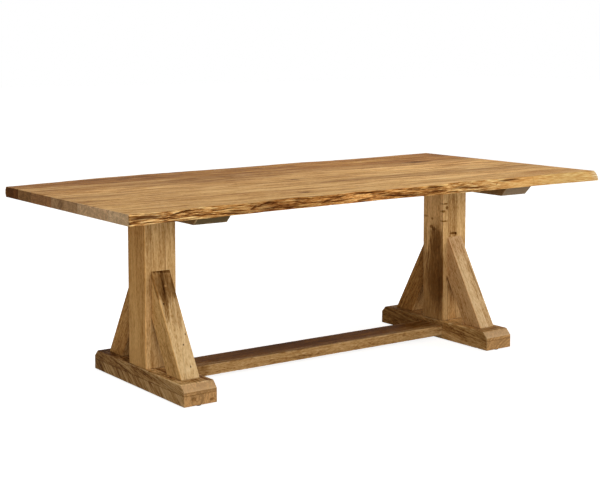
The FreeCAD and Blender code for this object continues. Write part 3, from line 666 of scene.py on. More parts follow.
def wood(name, tones, grain, broad=0.45, fine=0.55, rings=0.14, streaks=0.5, lines=0, pins=0.4, mottle=0.2,
         layers=(), marks=(), washes=(), end_colour=TAN_END, slant_colour=None, live=None):
    """Satin maple. Layers are (direction, place, step in tone) of glued laminations; marks are
    (place, radii along, across and through the grain, tint, strength) of stains, knots, checks, and painted
    light and shade in some places; washes are the same for whole faces and lines, with radii along X, Y and
    Z, and carry painted light and shade, glue lines and dark joint lines that are partly painted contact
    shadow; live is the list of shades along a live edge."""
    g = Graph(bpy.data.materials.new(name))
    place = g.place()
    local = g.vector("SUBTRACT", place, grain.middle)
    straight = g.together(*[g.dot(local, way) for way in grain.ways()])
    lie, step_tone, glue = laminations(g, grain, place, local, straight, layers)
    bent = wavering(g, grain, lie)
    facing = g.math("ABSOLUTE", g.dot(g.node("ShaderNodeNewGeometry")["Normal"], grain.along))
    slant = g.spread(facing, *SLANT_FACING)
    end = g.spread(facing, *END_FACING)

    # Tone: clouds, mottles, bands, flecks, specks and fibres along the grain, and rings, plainest at the ends
    parts = [grain.figure(g, bent, *kind) for kind in (CLOUDS, MOTTLES, BANDS, FLECKS, SPECKS, FIBRES)]
    bands, flecks, fibres = parts[2], parts[3], parts[5]
    gains = (broad, mottle, broad * BAND_GAIN, fine, fine * SPECK_GAIN, fine * FIBRE_GAIN)
    tone = g.math("ADD", 0.5, step_tone)
    for part, gain in zip(parts, gains):
        tone = g.scale_add(g.minus(part, 0.5), gain, tone)
    tone = g.scale_add(growth_rings(g, grain, bent), g.scale_add(end, rings * END_RINGS, rings), tone)
    colour = g.ramp(tone, tones)

    # Brown mineral streaks, soft and firm-edged, and worm pins
    for kind, span, strength in ((MINERAL, MINERAL_SPAN, streaks), (DRAWN, DRAWN_SPAN, lines)):
        share = g.times(g.spread(grain.figure(g, bent, *kind), *span), strength)
        colour = g.mix(share, colour, STREAK_AND_PAINTED_SHADE, "MULTIPLY")
    pin, flame = worm_pins(g, grain, lie, pins)
    colour = g.mix(flame, colour, STREAK_AND_PAINTED_SHADE, "MULTIPLY")

    # End grain: open-pored, with its rings
    pores = grain.figure(g, place, *PORES)
    cuts = ((slant, slant_colour or end_colour, *SLANT_SHADES), (end, end_colour, *END_SHADES))
    for share, cut_colour, dark, light, open_pore in cuts:
        open_shade = g.spread(pores, *PORE_SPAN, open_pore, PORE_FREE)
        shade = g.times(g.spread(tone, *CUT_TONES, dark, light), open_shade)
        shaded = g.mix(1, cut_colour, g.together(shade, shade, shade), "MULTIPLY")
        colour = g.mix(share, colour, shaded)

    # Glue lines, and edges paler here and there: partly rubbed, partly a painted highlight along the arrises
    colour = g.mix(g.times(glue, GLUE_SHARE), colour, STREAK_AND_PAINTED_SHADE, "MULTIPLY")
    rubbed_and_highlit = g.spread(grain.figure(g, place, *RUBBED_AND_HIGHLIT), *RUBBED_AND_HIGHLIT_SPAN, 0, RUBBED_AND_HIGHLIT_SHARE)
    worn = g.times(g.attribute("arris"), rubbed_and_highlit)
    colour = g.mix(g.times(worn, g.minus(1, end)), colour, WORN_AND_HIGHLIT_EDGE)

    # Washes over faces and lines: painted light and shade, glue lines and dark joints partly painted as
    # contact shadow; then marks in their places, ragged along the grain: stains, knots, checks and some
    # painted light and shade
    for spot, radii, tint, strength in washes:
        share = g.distance(place, spot, radii)
        colour = g.mix(g.spread(share, *WASH_FADE, 0, strength), colour, tint, "MULTIPLY")
    swell = g.scale_add(grain.figure(g, straight, *RAGGED), MARK_SWELL, -MARK_SWELL / 2)
    for spot, radii, tint, strength in marks:
        offset = Vector(spot) - grain.middle
        share = g.distance(straight, [offset.dot(way) for way in grain.ways()], radii)
        mask = g.spread(g.math("ADD", share, swell), *MARK_FADE, 0, strength)
        colour = g.mix(mask, colour, tint, "MULTIPLY")
    colour = g.mix(pin, colour, PIN)
    height = g.scale_add(fibres, FIBRE_HEIGHT, g.times(flecks, FLECK_HEIGHT))
    roughness = g.spread(bands, *SATIN_SPAN)
    if live is not None:
        colour, height, roughness = live_edge_look(g, grain, straight, live, colour, height, roughness)
    roughness = g.scale_add(slant, SLANT_ROUGHNESS, roughness)
    height = g.scale_add(pin, PIN_HEIGHT, height)
    return g.surface(colour, roughness, height, lift=WOOD_LIFT, shine=WOOD_SHINE)


def live_edge_look(g, grain, straight, shades, colour, height, roughness):
    """The torn outside of the tree: golden ridges with bark left dark in the fissures. Shades are (place
    along the board from its middle, reach, tint) of its lighter and darker stretches."""
    edge, cavity, plain = [g.attribute(name) for name in ("edge", "cavity", "plain")]
    rough_part = g.minus(1, plain)
    ridges, patches, splinters, threads = [
        g.noise(straight, scales, grain.seed + seed, detail, roughened)
        for scales, seed, detail, roughened in LIVE_FIGURE
    ]
    gain = g.scale_add(rough_part, *LIVE_GAIN)
    tone = LIVE_BASE
    for part, share in zip((ridges, patches, splinters), LIVE_SHARES):
        tone = g.scale_add(g.times(g.minus(part, 0.5), share), gain, tone)
    tone = g.scale_add(plain, PLAIN_TONE, tone)
    bark = g.ramp(tone, LIVE_TONES)
    thread = g.times(g.spread(threads, *THREAD_SPAN), rough_part)
    bark = g.mix(thread, bark, FISSURE)
    along = g.node("ShaderNodeSeparateXYZ", (straight,))[0]
    for place, reach, tint in shades:
        off = g.math("ABSOLUTE", g.minus(along, place))
        bark = g.mix(g.spread(off, 0, reach, 1, 0), bark, tint, "MULTIPLY")
    bark = g.mix(g.spread(cavity, *CAVITY_SPAN), bark, FISSURE)
    height = g.scale_add(g.times(ridges, rough_part), RIDGE_HEIGHT, height)
    roughness = g.scale_add(edge, LIVE_ROUGHNESS, roughness)
    return g.mix(edge, colour, bark), height, roughness


def zinc(name):
    """Zinc-plated steel: cool grey with a cloudy spangle and fine turning marks."""
    g = Graph(bpy.data.materials.new(name))
    place = g.place()
    clouds = g.noise(place, (160,) * 3, 3, 3, 0.6)
    marks = g.noise(place, (900, 900, 3000), 5, 2, 0.6)
    tones = tone_ramp((146, 146, 140), (186, 186, 182), (204, 202, 190), stops=(0.3, 0.55, 0.75))
    roughness = g.spread(clouds, 0.3, 0.7, 0.46, 0.28)
    return g.surface(g.ramp(clouds, tones), roughness, marks, lift=FITTING_LIFT, metallic=1)


def nylon(name):
    """Dark moulded nylon with a fine matt texture, scuffed grey in places."""
    g = Graph(bpy.data.materials.new(name))
    place = g.place()
    scuffs = g.noise(place, (240, 240, 90), 2, 4, 0.7)
    grit = g.noise(place, (2600,) * 3, 4, 2, 0.6)
    tones = tone_ramp((30, 27, 24), (42, 38, 34), (70, 65, 59), stops=(0.4, 0.62, 0.75))
    roughness = g.spread(scuffs, 0.4, 0.75, 0.55, 0.72)
    return g.surface(g.ramp(scuffs, tones), roughness, grit, lift=FITTING_LIFT, shine=0.3)


# Top

def curve_at(shares, column, x):
    """The smooth outline through the shares of one column, at a share of half the length."""
    last = len(shares) - 1
    i = max(k for k in range(last) if shares[k][0] <= x or k == 0)

    def slope(k):
        before, after = shares[max(k - 1, 0)], shares[min(k + 1, last)]
        return (after[column] - before[column]) / (after[0] - before[0])

    width = shares[i + 1][0] - shares[i][0]
    t = (x - shares[i][0]) / width
    start, end = shares[i][column], shares[i + 1][column]
    bend = t * (1 - t) * width * ((1 - t) * slope(i) - t * slope(i + 1))
    return lerp(start, end, smooth(t, 0, 1)) + bend


def fissure_depth(fissures, x, down, thickness):
    """How deep a fissure is at a place on the edge, and how nearly the place is in a dark one."""
    depth = 0
    inside = 0
    for start_x, start_down, end_x, end_down, half_width, deep in fissures:
        t = (x - start_x) / (end_x - start_x)
        if not -FISSURE_TAIL < t < 1 + FISSURE_TAIL:
            continue
        sway = noise.noise(Vector((x * SWAY_SCALES[0], start_x * SWAY_SCALES[1], 0))) * FISSURE_SWAY
        off = (down - lerp(start_down, end_down, t) - sway) * thickness
        taper = math.sqrt(max(0, math.sin(math.pi * (t + FISSURE_TAIL) / (1 + 2 * FISSURE_TAIL))))
        hollow = taper * math.exp(-((off / half_width) ** 2))
        depth = max(depth, deep * hollow)
        inside = max(inside, hollow * min(1, deep / DARK_DEPTH))
    return depth, inside


def live_edge(x, down, thickness, fissures, plain, seed):
    """How far the torn edge lies in from its outline, and how dark it is there."""
    roughness = lerp(1, PLAIN_ROUGHNESS, plain)
    depth, inside = fissure_depth(fissures, x, down, thickness)
    z = down * thickness
    along, across, start, base, deep = LUMPS
    relief = (noise.noise(Vector((x * along, z * across, seed + start))) + base) * deep
    shade = 0
    for along, across, climb, start, power, deep, dark_power, dark in TEARS:
        crest = 1 - abs(noise.noise(Vector((x * along, z * across - x * climb, seed + start)))) * 2
        relief += max(0, crest) ** power * deep
        shade += max(0, crest) ** dark_power * dark
    return depth + roughness * relief, min(max(inside, roughness * shade), 1)


def nibble(x, column, width, plain):
    """Small bites out of a corner of a live edge, with larger ones where it is rough."""
    fine, coarse = [
        (noise.noise(Vector((x * along, column * apart, width * start))) - base) * deep
        for along, apart, start, base, deep in NIBBLES
    ]
    return fine + coarse * (1 - plain)


def live_edge_board(node, material, width, outward, shares, fissures, smooth_span):
    """A board with a torn outer edge, as rings of points at the stations along it."""
    low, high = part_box(node)
    seam = high.y if outward < 0 else low.y
    half = high.x
    count = int(2 * half / EDGE_STEP)
    stations = [lerp(-half, half, i / count) for i in range(count + 1)]
    stations[1:1] = [-half + END_EASE]
    stations[-1:-1] = [half - END_EASE]
    places = []
    looks = {"edge": [], "cavity": [], "plain": [], "arris": []}
    for x in stations:
        at_end = x in (stations[0], stations[-1])
        trim = END_EASE if at_end else 0
        plain = smooth(x, *smooth_span)
        past = max(0, x - (half - CORNER_ROUND)) if outward < 0 else 0
        rounding = CORNER_ROUND - math.sqrt(max(CORNER_ROUND**2 - past**2, 0))
        upper, lower = [
            curve_at(shares, i, x / half) * width - rounding / i + nibble(x, i, width, plain) - trim
            for i in (1, 2)
        ]
        rim_share = 1 if at_end else 1 - smooth(half - abs(x), END_EASE, RIM)
        top, bottom = high.z - trim, low.z + trim
        ring = [(upper * k / TOP_ROWS, top, 0, 0) for k in range(TOP_ROWS)]
        ring.append((upper - RIM, top, 0, 0))
        for k in range(EDGE_ROWS + 1):
            down = k / EDGE_ROWS
            hollow, dark = live_edge(x, down, high.z - low.z, fissures, plain, width * EDGE_SEEDS)
            # The upper and lower corners keep near their outlines
            hold = lerp(CORNER_HOLD, 1, smooth(min(down, 1 - down), 0, CORNER_SHARE))
            out = lerp(upper, lower, down) + BULGE * math.sin(math.pi * down) - hollow * hold
            ring.append((out, lerp(top, bottom, down), 1, dark * hold))
        ring += [(lower - RIM, bottom, 0, 0), (0, bottom, 0, 0)]
        for out, z, is_edge, dark in ring:
            places.append((x, seam + outward * out, z))
            for values, value in zip(looks.values(), (is_edge, dark, plain, rim_share * (1 - is_edge))):
                values.append(value)
    across = len(ring)
    faces = []
    for start in range(0, len(places) - across, across):
        for k in range(across):
            j = (k + 1) % across
            faces.append((start + k, start + j, start + across + j, start + across + k))
    faces.append(tuple(range(across)))
    faces.append(tuple(range(len(places) - across, len(places))))
    mesh = bpy.data.meshes.new(node)
    mesh.from_pydata(places, [], faces)
    bm = bmesh.new()
    bm.from_mesh(mesh)
    bmesh.ops.recalc_face_normals(bm, faces=bm.faces[:])
    bm.to_mesh(mesh)
    bm.free()
    for name, values in looks.items():
        mesh.attributes.new(name, "FLOAT", "POINT").data.foreach_set("value", values)
    dress(new_object(f"{node}_wood", mesh), node, material)


def straight_board(node, material, checks):
    """A board with eased ends, hardly eased seams and small checks cut into its upper face."""
    low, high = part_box(node)
    bm, sides = prism(rectangle(low, high, 1, 2), (1, 2, 0), low.x, high.x)

    def runs(edge, axis):
        return abs((edge.verts[0].co - edge.verts[1].co).normalized()[axis]) > 0.9

    ends = [e for e in bm.edges if runs(e, 1)]
    ease_edges(bm, ends, END_EASE)
    long_sides = [e for e in bm.edges if runs(e, 0) and e.calc_face_angle() > SHARP_ANGLE]
    ease_edges(bm, long_sides, SEAM_EASE, 1)
    end_sides = [side for side in sides if abs(side[1].y) < 0.5]
    add_rings(bm, end_sides, 0, BOARD_RING_STEP)
    wear(bm, end_sides, low.y * BOARD_SEEDS)
    piece = new_object(f"{node}_wood", finish_mesh(bm, node))
    tool = bmesh.new()
    for x, y, long, narrow in checks:
        pit(tool, (x, y, high.z), (long, narrow, narrow))
    combine(piece, tool, "DIFFERENCE")
    mark_edges(piece, end_sides)
    dress(piece, node, material)


def on_top(x, y, along, across, tint, strength, deep=0.1):
    """A mark on the top, with its radii along, across and through the boards."""
    return ((x, y, TOP_LEVEL), (along, across, deep), tint, strength)


# Halo and core of a knot: how much longer and wider than the knot, tint, strength and depth
KNOT = ((2.6, 2, STREAK_AND_PAINTED_SHADE, 0.65, 0.03), (1, 1, STAIN_AND_PAINTED_SHADE, 0.7, 0.02))


def knot(x, y, long, wide):
    """A knot in the top: a dark core in a brown halo drawn out along the grain."""
    return [on_top(x, y, long * longer, wide * wider, *look) for longer, wider, *look in KNOT]


def seam_edges(node):
    """The thin brown glue line along each straight edge of a board."""
    low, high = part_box(node)
    edges = [y for y, live in ((low.y, "front_live"), (high.y, "back_live")) if not node.startswith(live)]
    return [((0, y, TOP_LEVEL), (WHOLE, SEAM_WIDTH, WHOLE), STREAK_AND_PAINTED_SHADE, SEAM_SHARE) for y in edges]


def seam_lines(node):
    """A pale line down each end of a board, along the seam at its back."""
    low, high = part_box(node)
    middle = (low.z + high.z) / 2
    if node == "back_live_edge_board":
        return []
    return [((x, high.y, middle), SEAM_END_REACH, BLEACH, SEAM_END_SHARE) for x in (low.x, high.x)]


# Checks are (x, y, half length, half width)
BOARDS = {
    "top_board_2": dict(
        tones=tinted(TOP_TONES, 1.12, 1.17, 1.27), end=srgb(209, 169, 125), heart=(0.02, -0.11), seed=12,
        broad=0.5, checks=[(-0.324, -0.423, 0.014, 0.0022)], marks=[
            *knot(-0.324, -0.423, 0.016, 0.015),
            on_top(0.99, -0.415, 0.2, 0.06, RUSSET, 0.38),
            on_top(0.65, -0.27, 0.6, 0.09, PALE, 0.45),
        ],
    ),
    "top_board_3": dict(
        tones=tinted(TOP_TONES, 1.08, 1.11, 1.18), end=srgb(174, 135, 94), heart=(-0.05, -0.09), seed=23,
        broad=0.75, checks=[(-0.097, -0.026, 0.022, 0.002), (-0.985, -0.118, 0.03, 0.0015)], marks=[
            *knot(-0.097, -0.03, 0.02, 0.014),
            on_top(0.6, -0.175, 0.8, 0.06, STREAK_AND_PAINTED_SHADE, 0.48),
            on_top(-1.04, -0.095, 0.18, 0.045, STREAK_AND_PAINTED_SHADE, 0.55),
            on_top(0.55, -0.06, 0.5, 0.045, PALE, 0.45),
        ],
    ),
    "top_board_4": dict(
        tones=tinted(TOP_TONES, 1.12, 1.14, 1.2), end=srgb(163, 116, 74), heart=(0.06, -0.12), seed=31,
        broad=0.9, checks=[(0.42, 0.061, 0.018, 0.0012)], marks=[
            on_top(-0.43, 0.135, 0.52, 0.085, STREAK_AND_PAINTED_SHADE, 0.46),
            on_top(0.78, 0.09, 0.52, 0.1, PALE, 0.62),
            on_top(-0.97, 0.1, 0.16, 0.09, PALE, 0.4),
        ],
    ),
    "top_board_5": dict(
        tones=tinted(TOP_TONES, 0.92, 0.88, 0.85), end=srgb(138, 99, 60), heart=(0.01, -0.08), seed=47,
        broad=1.1, checks=[(0.796, 0.262, 0.03, 0.0026), (0.748, 0.257, 0.022, 0.0014)], marks=[
            *knot(0.796, 0.258, 0.034, 0.017),
            on_top(0.74, 0.245, 0.15, 0.036, STREAK_AND_PAINTED_SHADE, 0.5, 0.05),
            on_top(-0.56, 0.225, 0.62, 0.07, STREAK_AND_PAINTED_SHADE, 0.28),
            on_top(1, 0.2, 0.25, 0.06, PALE, 0.4),
            on_top(0.45, 0.272, 0.5, 0.025, PALE, 0.3),
        ],
    ),
    "front_live_edge_board": dict(
        tones=tinted(TOP_TONES, 1.12, 1.18, 1.29), end=srgb(212, 176, 133), heart=(0.03, -0.16), seed=58,
        broad=0.45, pins=0.1, marks=[on_top(0.35, -0.495, 0.45, 0.05, PALE, 0.5)], shades=FRONT_SHADES,
        live=(FRONT_WIDTH, -1, FRONT_EDGE_SHARES, FRONT_FISSURES, FRONT_SMOOTH),
    ),
    "back_live_edge_board": dict(
        tones=tinted(BACK_TONES, 1.05, 1.15, 1.27), end=srgb(106, 64, 30), heart=(-0.04, -0.14), seed=66,
        broad=1.1, pins=0.1, marks=[
            on_top(-0.657, 0.384, 0.045, 0.022, STAIN_AND_PAINTED_SHADE, 0.5, 0.03),
            on_top(-0.424, 0.364, 0.03, 0.014, STAIN_AND_PAINTED_SHADE, 0.5, 0.03),
            on_top(0.016, 0.431, 0.045, 0.018, STAIN_AND_PAINTED_SHADE, 0.5, 0.03),
            on_top(0.209, 0.457, 0.04, 0.015, STAIN_AND_PAINTED_SHADE, 0.5, 0.03),
            on_top(0.409, 0.471, 0.03, 0.012, STAIN_AND_PAINTED_SHADE, 0.5, 0.03),
            on_top(-0.537, 0.405, 0.05, 0.03, RUSSET, 0.6, 0.05),
            on_top(0.75, 0.42, 0.75, 0.25, PALE, 0.75),
        ], shades=BACK_SHADES, live=(BACK_WIDTH, 1, BACK_EDGE_SHARES, BACK_FISSURES, BACK_SMOOTH),
    ),
}


def make_board(node, tones, end, heart, seed, broad, marks, checks=(), pins=0.15, shades=None, live=None):
    low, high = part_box(node)
    grain = Grain((low + high) / 2, X_AXIS, Y_AXIS, heart, seed)
    material = wood(
        f"{node}_maple", tones, grain, broad=broad, rings=0.1, lines=0.36, pins=pins, mottle=1.3,
        marks=marks + seam_lines(node), washes=seam_edges(node), end_colour=end, live=shades,
    )
    if live:
        live_edge_board(node, material, *live)
    else:
        straight_board(node, material, checks)


# Trestles

def pair(node):
    """Places across the table of the outer two of a row of round pieces, with their radius."""
    low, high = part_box(node)
    radius = (high.x - low.x) / 2
    return (low.x + high.x) / 2, (low.y + radius, high.y - radius), radius


def post_tenon(tool, side, low, high, clearance=0):
    post_low, post_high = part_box(f"{side}_post")
    middle = (post_low + post_high) / 2
    wide, deep = TENON_WIDTH / 2 + clearance, TENON_DEPTH / 2 + clearance
    box(tool, (middle.x - wide, middle.y - deep, low), (middle.x + wide, middle.y + deep, high))


def make_foot(side, material):
    node = f"{side}_foot"
    low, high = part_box(node)
    profile = [
        (low.y, low.z), (high.y, low.z), (high.y, high.z - FOOT_CHAMFER), (high.y - FOOT_CHAMFER, high.z),
        (low.y + FOOT_CHAMFER, high.z), (low.y, high.z - FOOT_CHAMFER),
    ]
    holes = (
        ("foot_lag_washers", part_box(f"{side}_foot_lag_washers")[1].z, COUNTERBORE_CLEARANCE),
        ("stretcher_screws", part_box(f"{side}_stretcher_screws")[0].z + SCREW_HEAD, SCREW_CLEARANCE),
        ("leveler_inserts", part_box(f"{side}_front_leveler_stem")[1].z + STEM_HEADROOM, TENON_CLEARANCE),
    )

    def cuts(tool):
        post_tenon(tool, side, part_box(f"{side}_post")[0].z, high.z + OVERRUN, TENON_CLEARANCE)
        for pieces, top, clearance in holes:
            x, places, radius = pair(f"{side}_{pieces}")
            for y in places:
                cylinder(tool, x, y, low.z - OVERRUN, top, radius + clearance)

    block(node, profile, (1, 2, 0), low.x, high.x, 1, material, cuts=cuts)


def make_post(side, material):
    node = f"{side}_post"
    low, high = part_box(node)
    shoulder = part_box(f"{side}_foot")[1].z
    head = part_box(f"{side}_bearer")[0].z

    def joins(tool):
        post_tenon(tool, side, low.z, shoulder + OVERRUN)
        post_tenon(tool, side, head - OVERRUN, high.z)

    block(node, rectangle(low, high, 0, 1), (0, 1, 2), shoulder, head, 2, material, joins=joins)


def make_bearer(side, material):
    node = f"{side}_bearer"
    low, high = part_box(node)
    bevel = high.z - low.z
    profile = [(low.y + bevel, low.z), (high.y - bevel, low.z), (high.y, high.z), (low.y, high.z)]

    def cuts(tool):
        post_tenon(tool, side, low.z - OVERRUN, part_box(f"{side}_post")[1].z, TENON_CLEARANCE)
        x, outer, radius = pair(f"{side}_top_washers")
        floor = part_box(f"{side}_top_washers")[1].z
        inner = [math.copysign(TOP_SCREW_INNER, y) for y in outer]
        for y in [*outer, *inner]:
            cylinder(tool, x, y, low.z - OVERRUN, floor, radius + COUNTERBORE_CLEARANCE)

    block(node, profile, (1, 2, 0), low.x, high.x, 1, material, cuts=cuts)


def make_brace(side, face, material):
    node = f"{side}_{face}_brace"
    low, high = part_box(node)
    outer, inner = (low.y, high.y) if face == "front" else (high.y, low.y)
    way = math.copysign(1, inner - outer)
    reach = abs(inner - outer)
    heel = outer + way * BRACE_FOOT
    low_shoulder = low.z + (high.z - low.z) * (reach - BRACE_FOOT) / reach
    profile = [(outer, low.z), (heel, low.z), (inner, low_shoulder), (inner, high.z)]
    block(node, profile, (1, 2, 0), low.x, high.x, 2, material, ease=BRACE_EASE, worn=BRACE_WEAR)


def brace_grain(side, face, heart, seed, lean):
    low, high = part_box(f"{side}_{face}_brace")
    rise = high.z - low.z
    reach = (high.y - low.y) * (1 if face == "front" else -1)
    return Grain((low + high) / 2, (lean * rise, reach, rise), (1, -lean * reach / rise, 0), heart, seed)


def on_post(side, rows):
    """Marks on the front of a post, from (place aside of its middle, height, radii, tint, strength)."""
    return [((TRESTLE_X[side] + x, POST_FRONT, z), *look) for x, z, *look in rows]


def on_brace(side, rows):
    """Marks on the sloping face of a front brace, from (place aside, share of the way down, radii, tint,
    strength)."""
    low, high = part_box(f"{side}_front_brace")
    return [
        ((TRESTLE_X[side] + x, lerp(high.y, low.y, down), lerp(high.z, low.z, down)), *look)
        for x, down, *look in rows
    ]


def flank(node, tint):
    """The wash of a piece's left side: painted light and shade that tint the whole face."""
    return (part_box(node)[0], (FACE_DEPTH, WHOLE, WHOLE), tint, 1)


def foot_joint_dirt_and_shade():
    """The dark line along the foot of a piece that stands on a trestle's foot: dirt and a painted contact
    shadow.
    """
    return ((0, 0, FOOT_TOP), (WHOLE, WHOLE, JOINT_WIDTH), STREAK_AND_PAINTED_SHADE, JOINT_SHARE)


# The left sides of the posts and braces carry painted light and shade: each is tinted, some lighter and some
# darker, as the side is lit
POST_FLANKS = {"left": (1.12, 0.99, 0.78, 1), "right": (1.31, 1.31, 1.31, 1)}
RIGHT_POST_FLANK_MARKS = [
    ((POST_INNER, y, z), *look) for y, z, *look in (
        (0, 0.15, (0.25, 0.3, 0.005), STAIN_AND_PAINTED_SHADE, 0.66),
        (-0.03, 0.32, (0.205, 0.08, 0.005), STAIN_AND_PAINTED_SHADE, 0.74),
        (-0.016, 0.44, (0.075, 0.046, 0.005), STAIN_AND_PAINTED_SHADE, 0.55),
        (0.054, 0.44, (0.075, 0.016, 0.005), STAIN_AND_PAINTED_SHADE, 0.45),
        (-0.05, 0.27, (0.15, 0.018, 0.005), STAIN_AND_PAINTED_SHADE, 0.3),
        (0.011, 0.499, (0.008, 0.014, 0.02), STAIN_AND_PAINTED_SHADE, 0.75),
        (-0.007, 0.49, (0.01, 0.016, 0.02), STAIN_AND_PAINTED_SHADE, 0.7),
        (0.05, 0.543, (0.005, 0.02, 0.02), STREAK_AND_PAINTED_SHADE, 0.9),
        (0.007, 0.535, (0.007, 0.007, 0.02), STAIN_AND_PAINTED_SHADE, 0.8),
    )
]
POST_MARKS = {
    "left": on_post("left", [(-0.056, 0.2, (0.18, 0.02, 0.014), PALE, 0.9)]),
    "right": RIGHT_POST_FLANK_MARKS + on_post("right", [
        # Painted light on the post's front, inside the opening behind the front brace
        (0, 0.15, (0.11, 0.03, 0.045), PALE, 0.6),
        (-0.003, 0.56, (0.3, 0.03, 0.013), STREAK_AND_PAINTED_SHADE, 0.4),
        (-0.055, 0.607, (0.004, 0.03, 0.018), STAIN_AND_PAINTED_SHADE, 0.9),
        (-0.062, 0.574, (0.007, 0.03, 0.008), STAIN_AND_PAINTED_SHADE, 0.9),
        (-0.046, 0.589, (0.009, 0.03, 0.01), STAIN_AND_PAINTED_SHADE, 0.85),
        (-0.056, 0.53, (0.004, 0.03, 0.018), STAIN_AND_PAINTED_SHADE, 0.9),
        (-0.008, 0.473, (0.006, 0.03, 0.024), STAIN_AND_PAINTED_SHADE, 0.9),
        (0.009, 0.47, (0.007, 0.03, 0.006), STAIN_AND_PAINTED_SHADE, 0.95),
        (-0.041, 0.273, (0.014, 0.03, 0.004), STAIN_AND_PAINTED_SHADE, 0.9),
    ]),
}
# Glue lines across each post, from its middle, and the steps in tone past them
POST_LAYERS = {"left": ((-0.04, -0.04), (0.022, 0.03)), "right": ((-0.037, -0.12), (0.011, 0.13))}
FOOT_LAYERS = [(Z_AXIS, 0.046, -0.06)]
FOOT_GRAINS = {"left": ((-0.01, -0.26), 76, 0.62), "right": ((0.09, 0.07), 90, 0)}
FOOT_FIGURES = {"left": dict(broad=1.5, streaks=0.6), "right": dict(broad=0.8, streaks=0.2)}
FOOT_MARKS = {
    "left": [
        ((FOOT_LOW["left"].x, 0.32, 0.045), (0.06, 0.03, 0.06), STREAK_AND_PAINTED_SHADE, 0.6),
        ((TRESTLE_X["left"] - 0.029, FOOT_LOW["left"].y, 0.03), (0.01, 0.012, 0.009), STREAK_AND_PAINTED_SHADE, 0.8),
        ((TRESTLE_X["left"] + 0.048, FOOT_LOW["left"].y, 0.02), (0.01, 0.012, 0.007), STREAK_AND_PAINTED_SHADE, 0.9),
    ],
    # Painted shade over the back part of the right foot's left side
    "right": [((FOOT_LOW["right"].x, 0.27, 0.05), (0.2, 0.04, 0.12), STAIN_AND_PAINTED_SHADE, 0.45)],
}
# Painted light over the front of each foot's top and painted shade over the back of the left foot's top; on
# the right foot, painted shade over its left side and a lighter patch on that side
FOOT_WASHES = {
    "left": [
        ((TRESTLE_X["left"], -0.19, FOOT_TOP), (WHOLE, 0.24, FACE_DEPTH), FOOT_TOP_PAINTED_LIGHT, 0.74),
        ((TRESTLE_X["left"], 0.31, FOOT_TOP), (WHOLE, 0.15, FACE_DEPTH), STAIN_AND_PAINTED_SHADE, 0.7),
    ],
    "right": [
        ((TRESTLE_X["right"], -0.14, FOOT_TOP), (WHOLE, 0.15, FACE_DEPTH), FOOT_TOP_PAINTED_LIGHT, 1),
        flank("right_foot", (0.94, 0.93, 0.86, 1)),
        ((FOOT_LOW["right"].x, -0.11, 0.045), (FACE_DEPTH, 0.09, WHOLE), PALE, 0.45),
    ],
}
LEFT_BRACE_MARKS = on_brace("left", [
    (0, 0.04, (0.11, 0.2, 0.014), STREAK_AND_PAINTED_SHADE, 0.95),
    (0, 0, (0.01, 0.2, 0.014), STAIN_AND_PAINTED_SHADE, 0.75),
    (0.038, 0.1, (0.1, 0.006, 0.014), STAIN_AND_PAINTED_SHADE, 0.8),
    (-0.003, 0.09, (0.06, 0.008, 0.014), STAIN_AND_PAINTED_SHADE, 0.6),
    (-0.004, 0.16, (0.085, 0.034, 0.012), STREAK_AND_PAINTED_SHADE, 0.75),
    (-0.016, 0.3, (0.085, 0.014, 0.01), STREAK_AND_PAINTED_SHADE, 0.95),
    (0.03, 0.34, (0.11, 0.01, 0.01), STREAK_AND_PAINTED_SHADE, 0.6),
    (0.003, 0.145, (0.0055, 0.0055, 0.01), BLEACH, 1),
    (-0.025, 0.305, (0.004, 0.0035, 0.01), CHECK, 0.9),
    (0.03, 0.6, (0.004, 0.003, 0.01), CHECK, 0.9),
    (0.01, 0.69, (0.004, 0.003, 0.01), CHECK, 0.9),
    (0.015, 0.89, (0.006, 0.003, 0.01), CHECK, 0.8),
])
RIGHT_BRACE_MARKS = on_brace("right", [
    (0.027, 0.42, (0.06, 0.005, 0.01), STREAK_AND_PAINTED_SHADE, 0.95),
    (0.031, 0.6, (0.05, 0.004, 0.01), STREAK_AND_PAINTED_SHADE, 0.85),
    (-0.004, 0.02, (0.09, 0.06, 0.01), RUSSET, 0.45),
])
# Tones, lean of the grain, seed, tint of the left side (painted light and shade) and marks of each brace
BRACE_LOOKS = {
    ("left", "front"): (PALE_TONES, 0.14, 91, (1.03, 0.9, 0.68, 1), LEFT_BRACE_MARKS),
    ("left", "back"): (TRESTLE_TONES, 0, 97, (1.1, 0.96, 0.75, 1), []),
    ("right", "front"): (
        tinted(PALE_TONES, 0.91, 0.92, 1), 0, 103, (0.94, 0.81, 0.66, 1), RIGHT_BRACE_MARKS
    ),
    ("right", "back"): (TRESTLE_TONES, 0, 109, (0.72, 0.6, 0.42, 1), []),
}


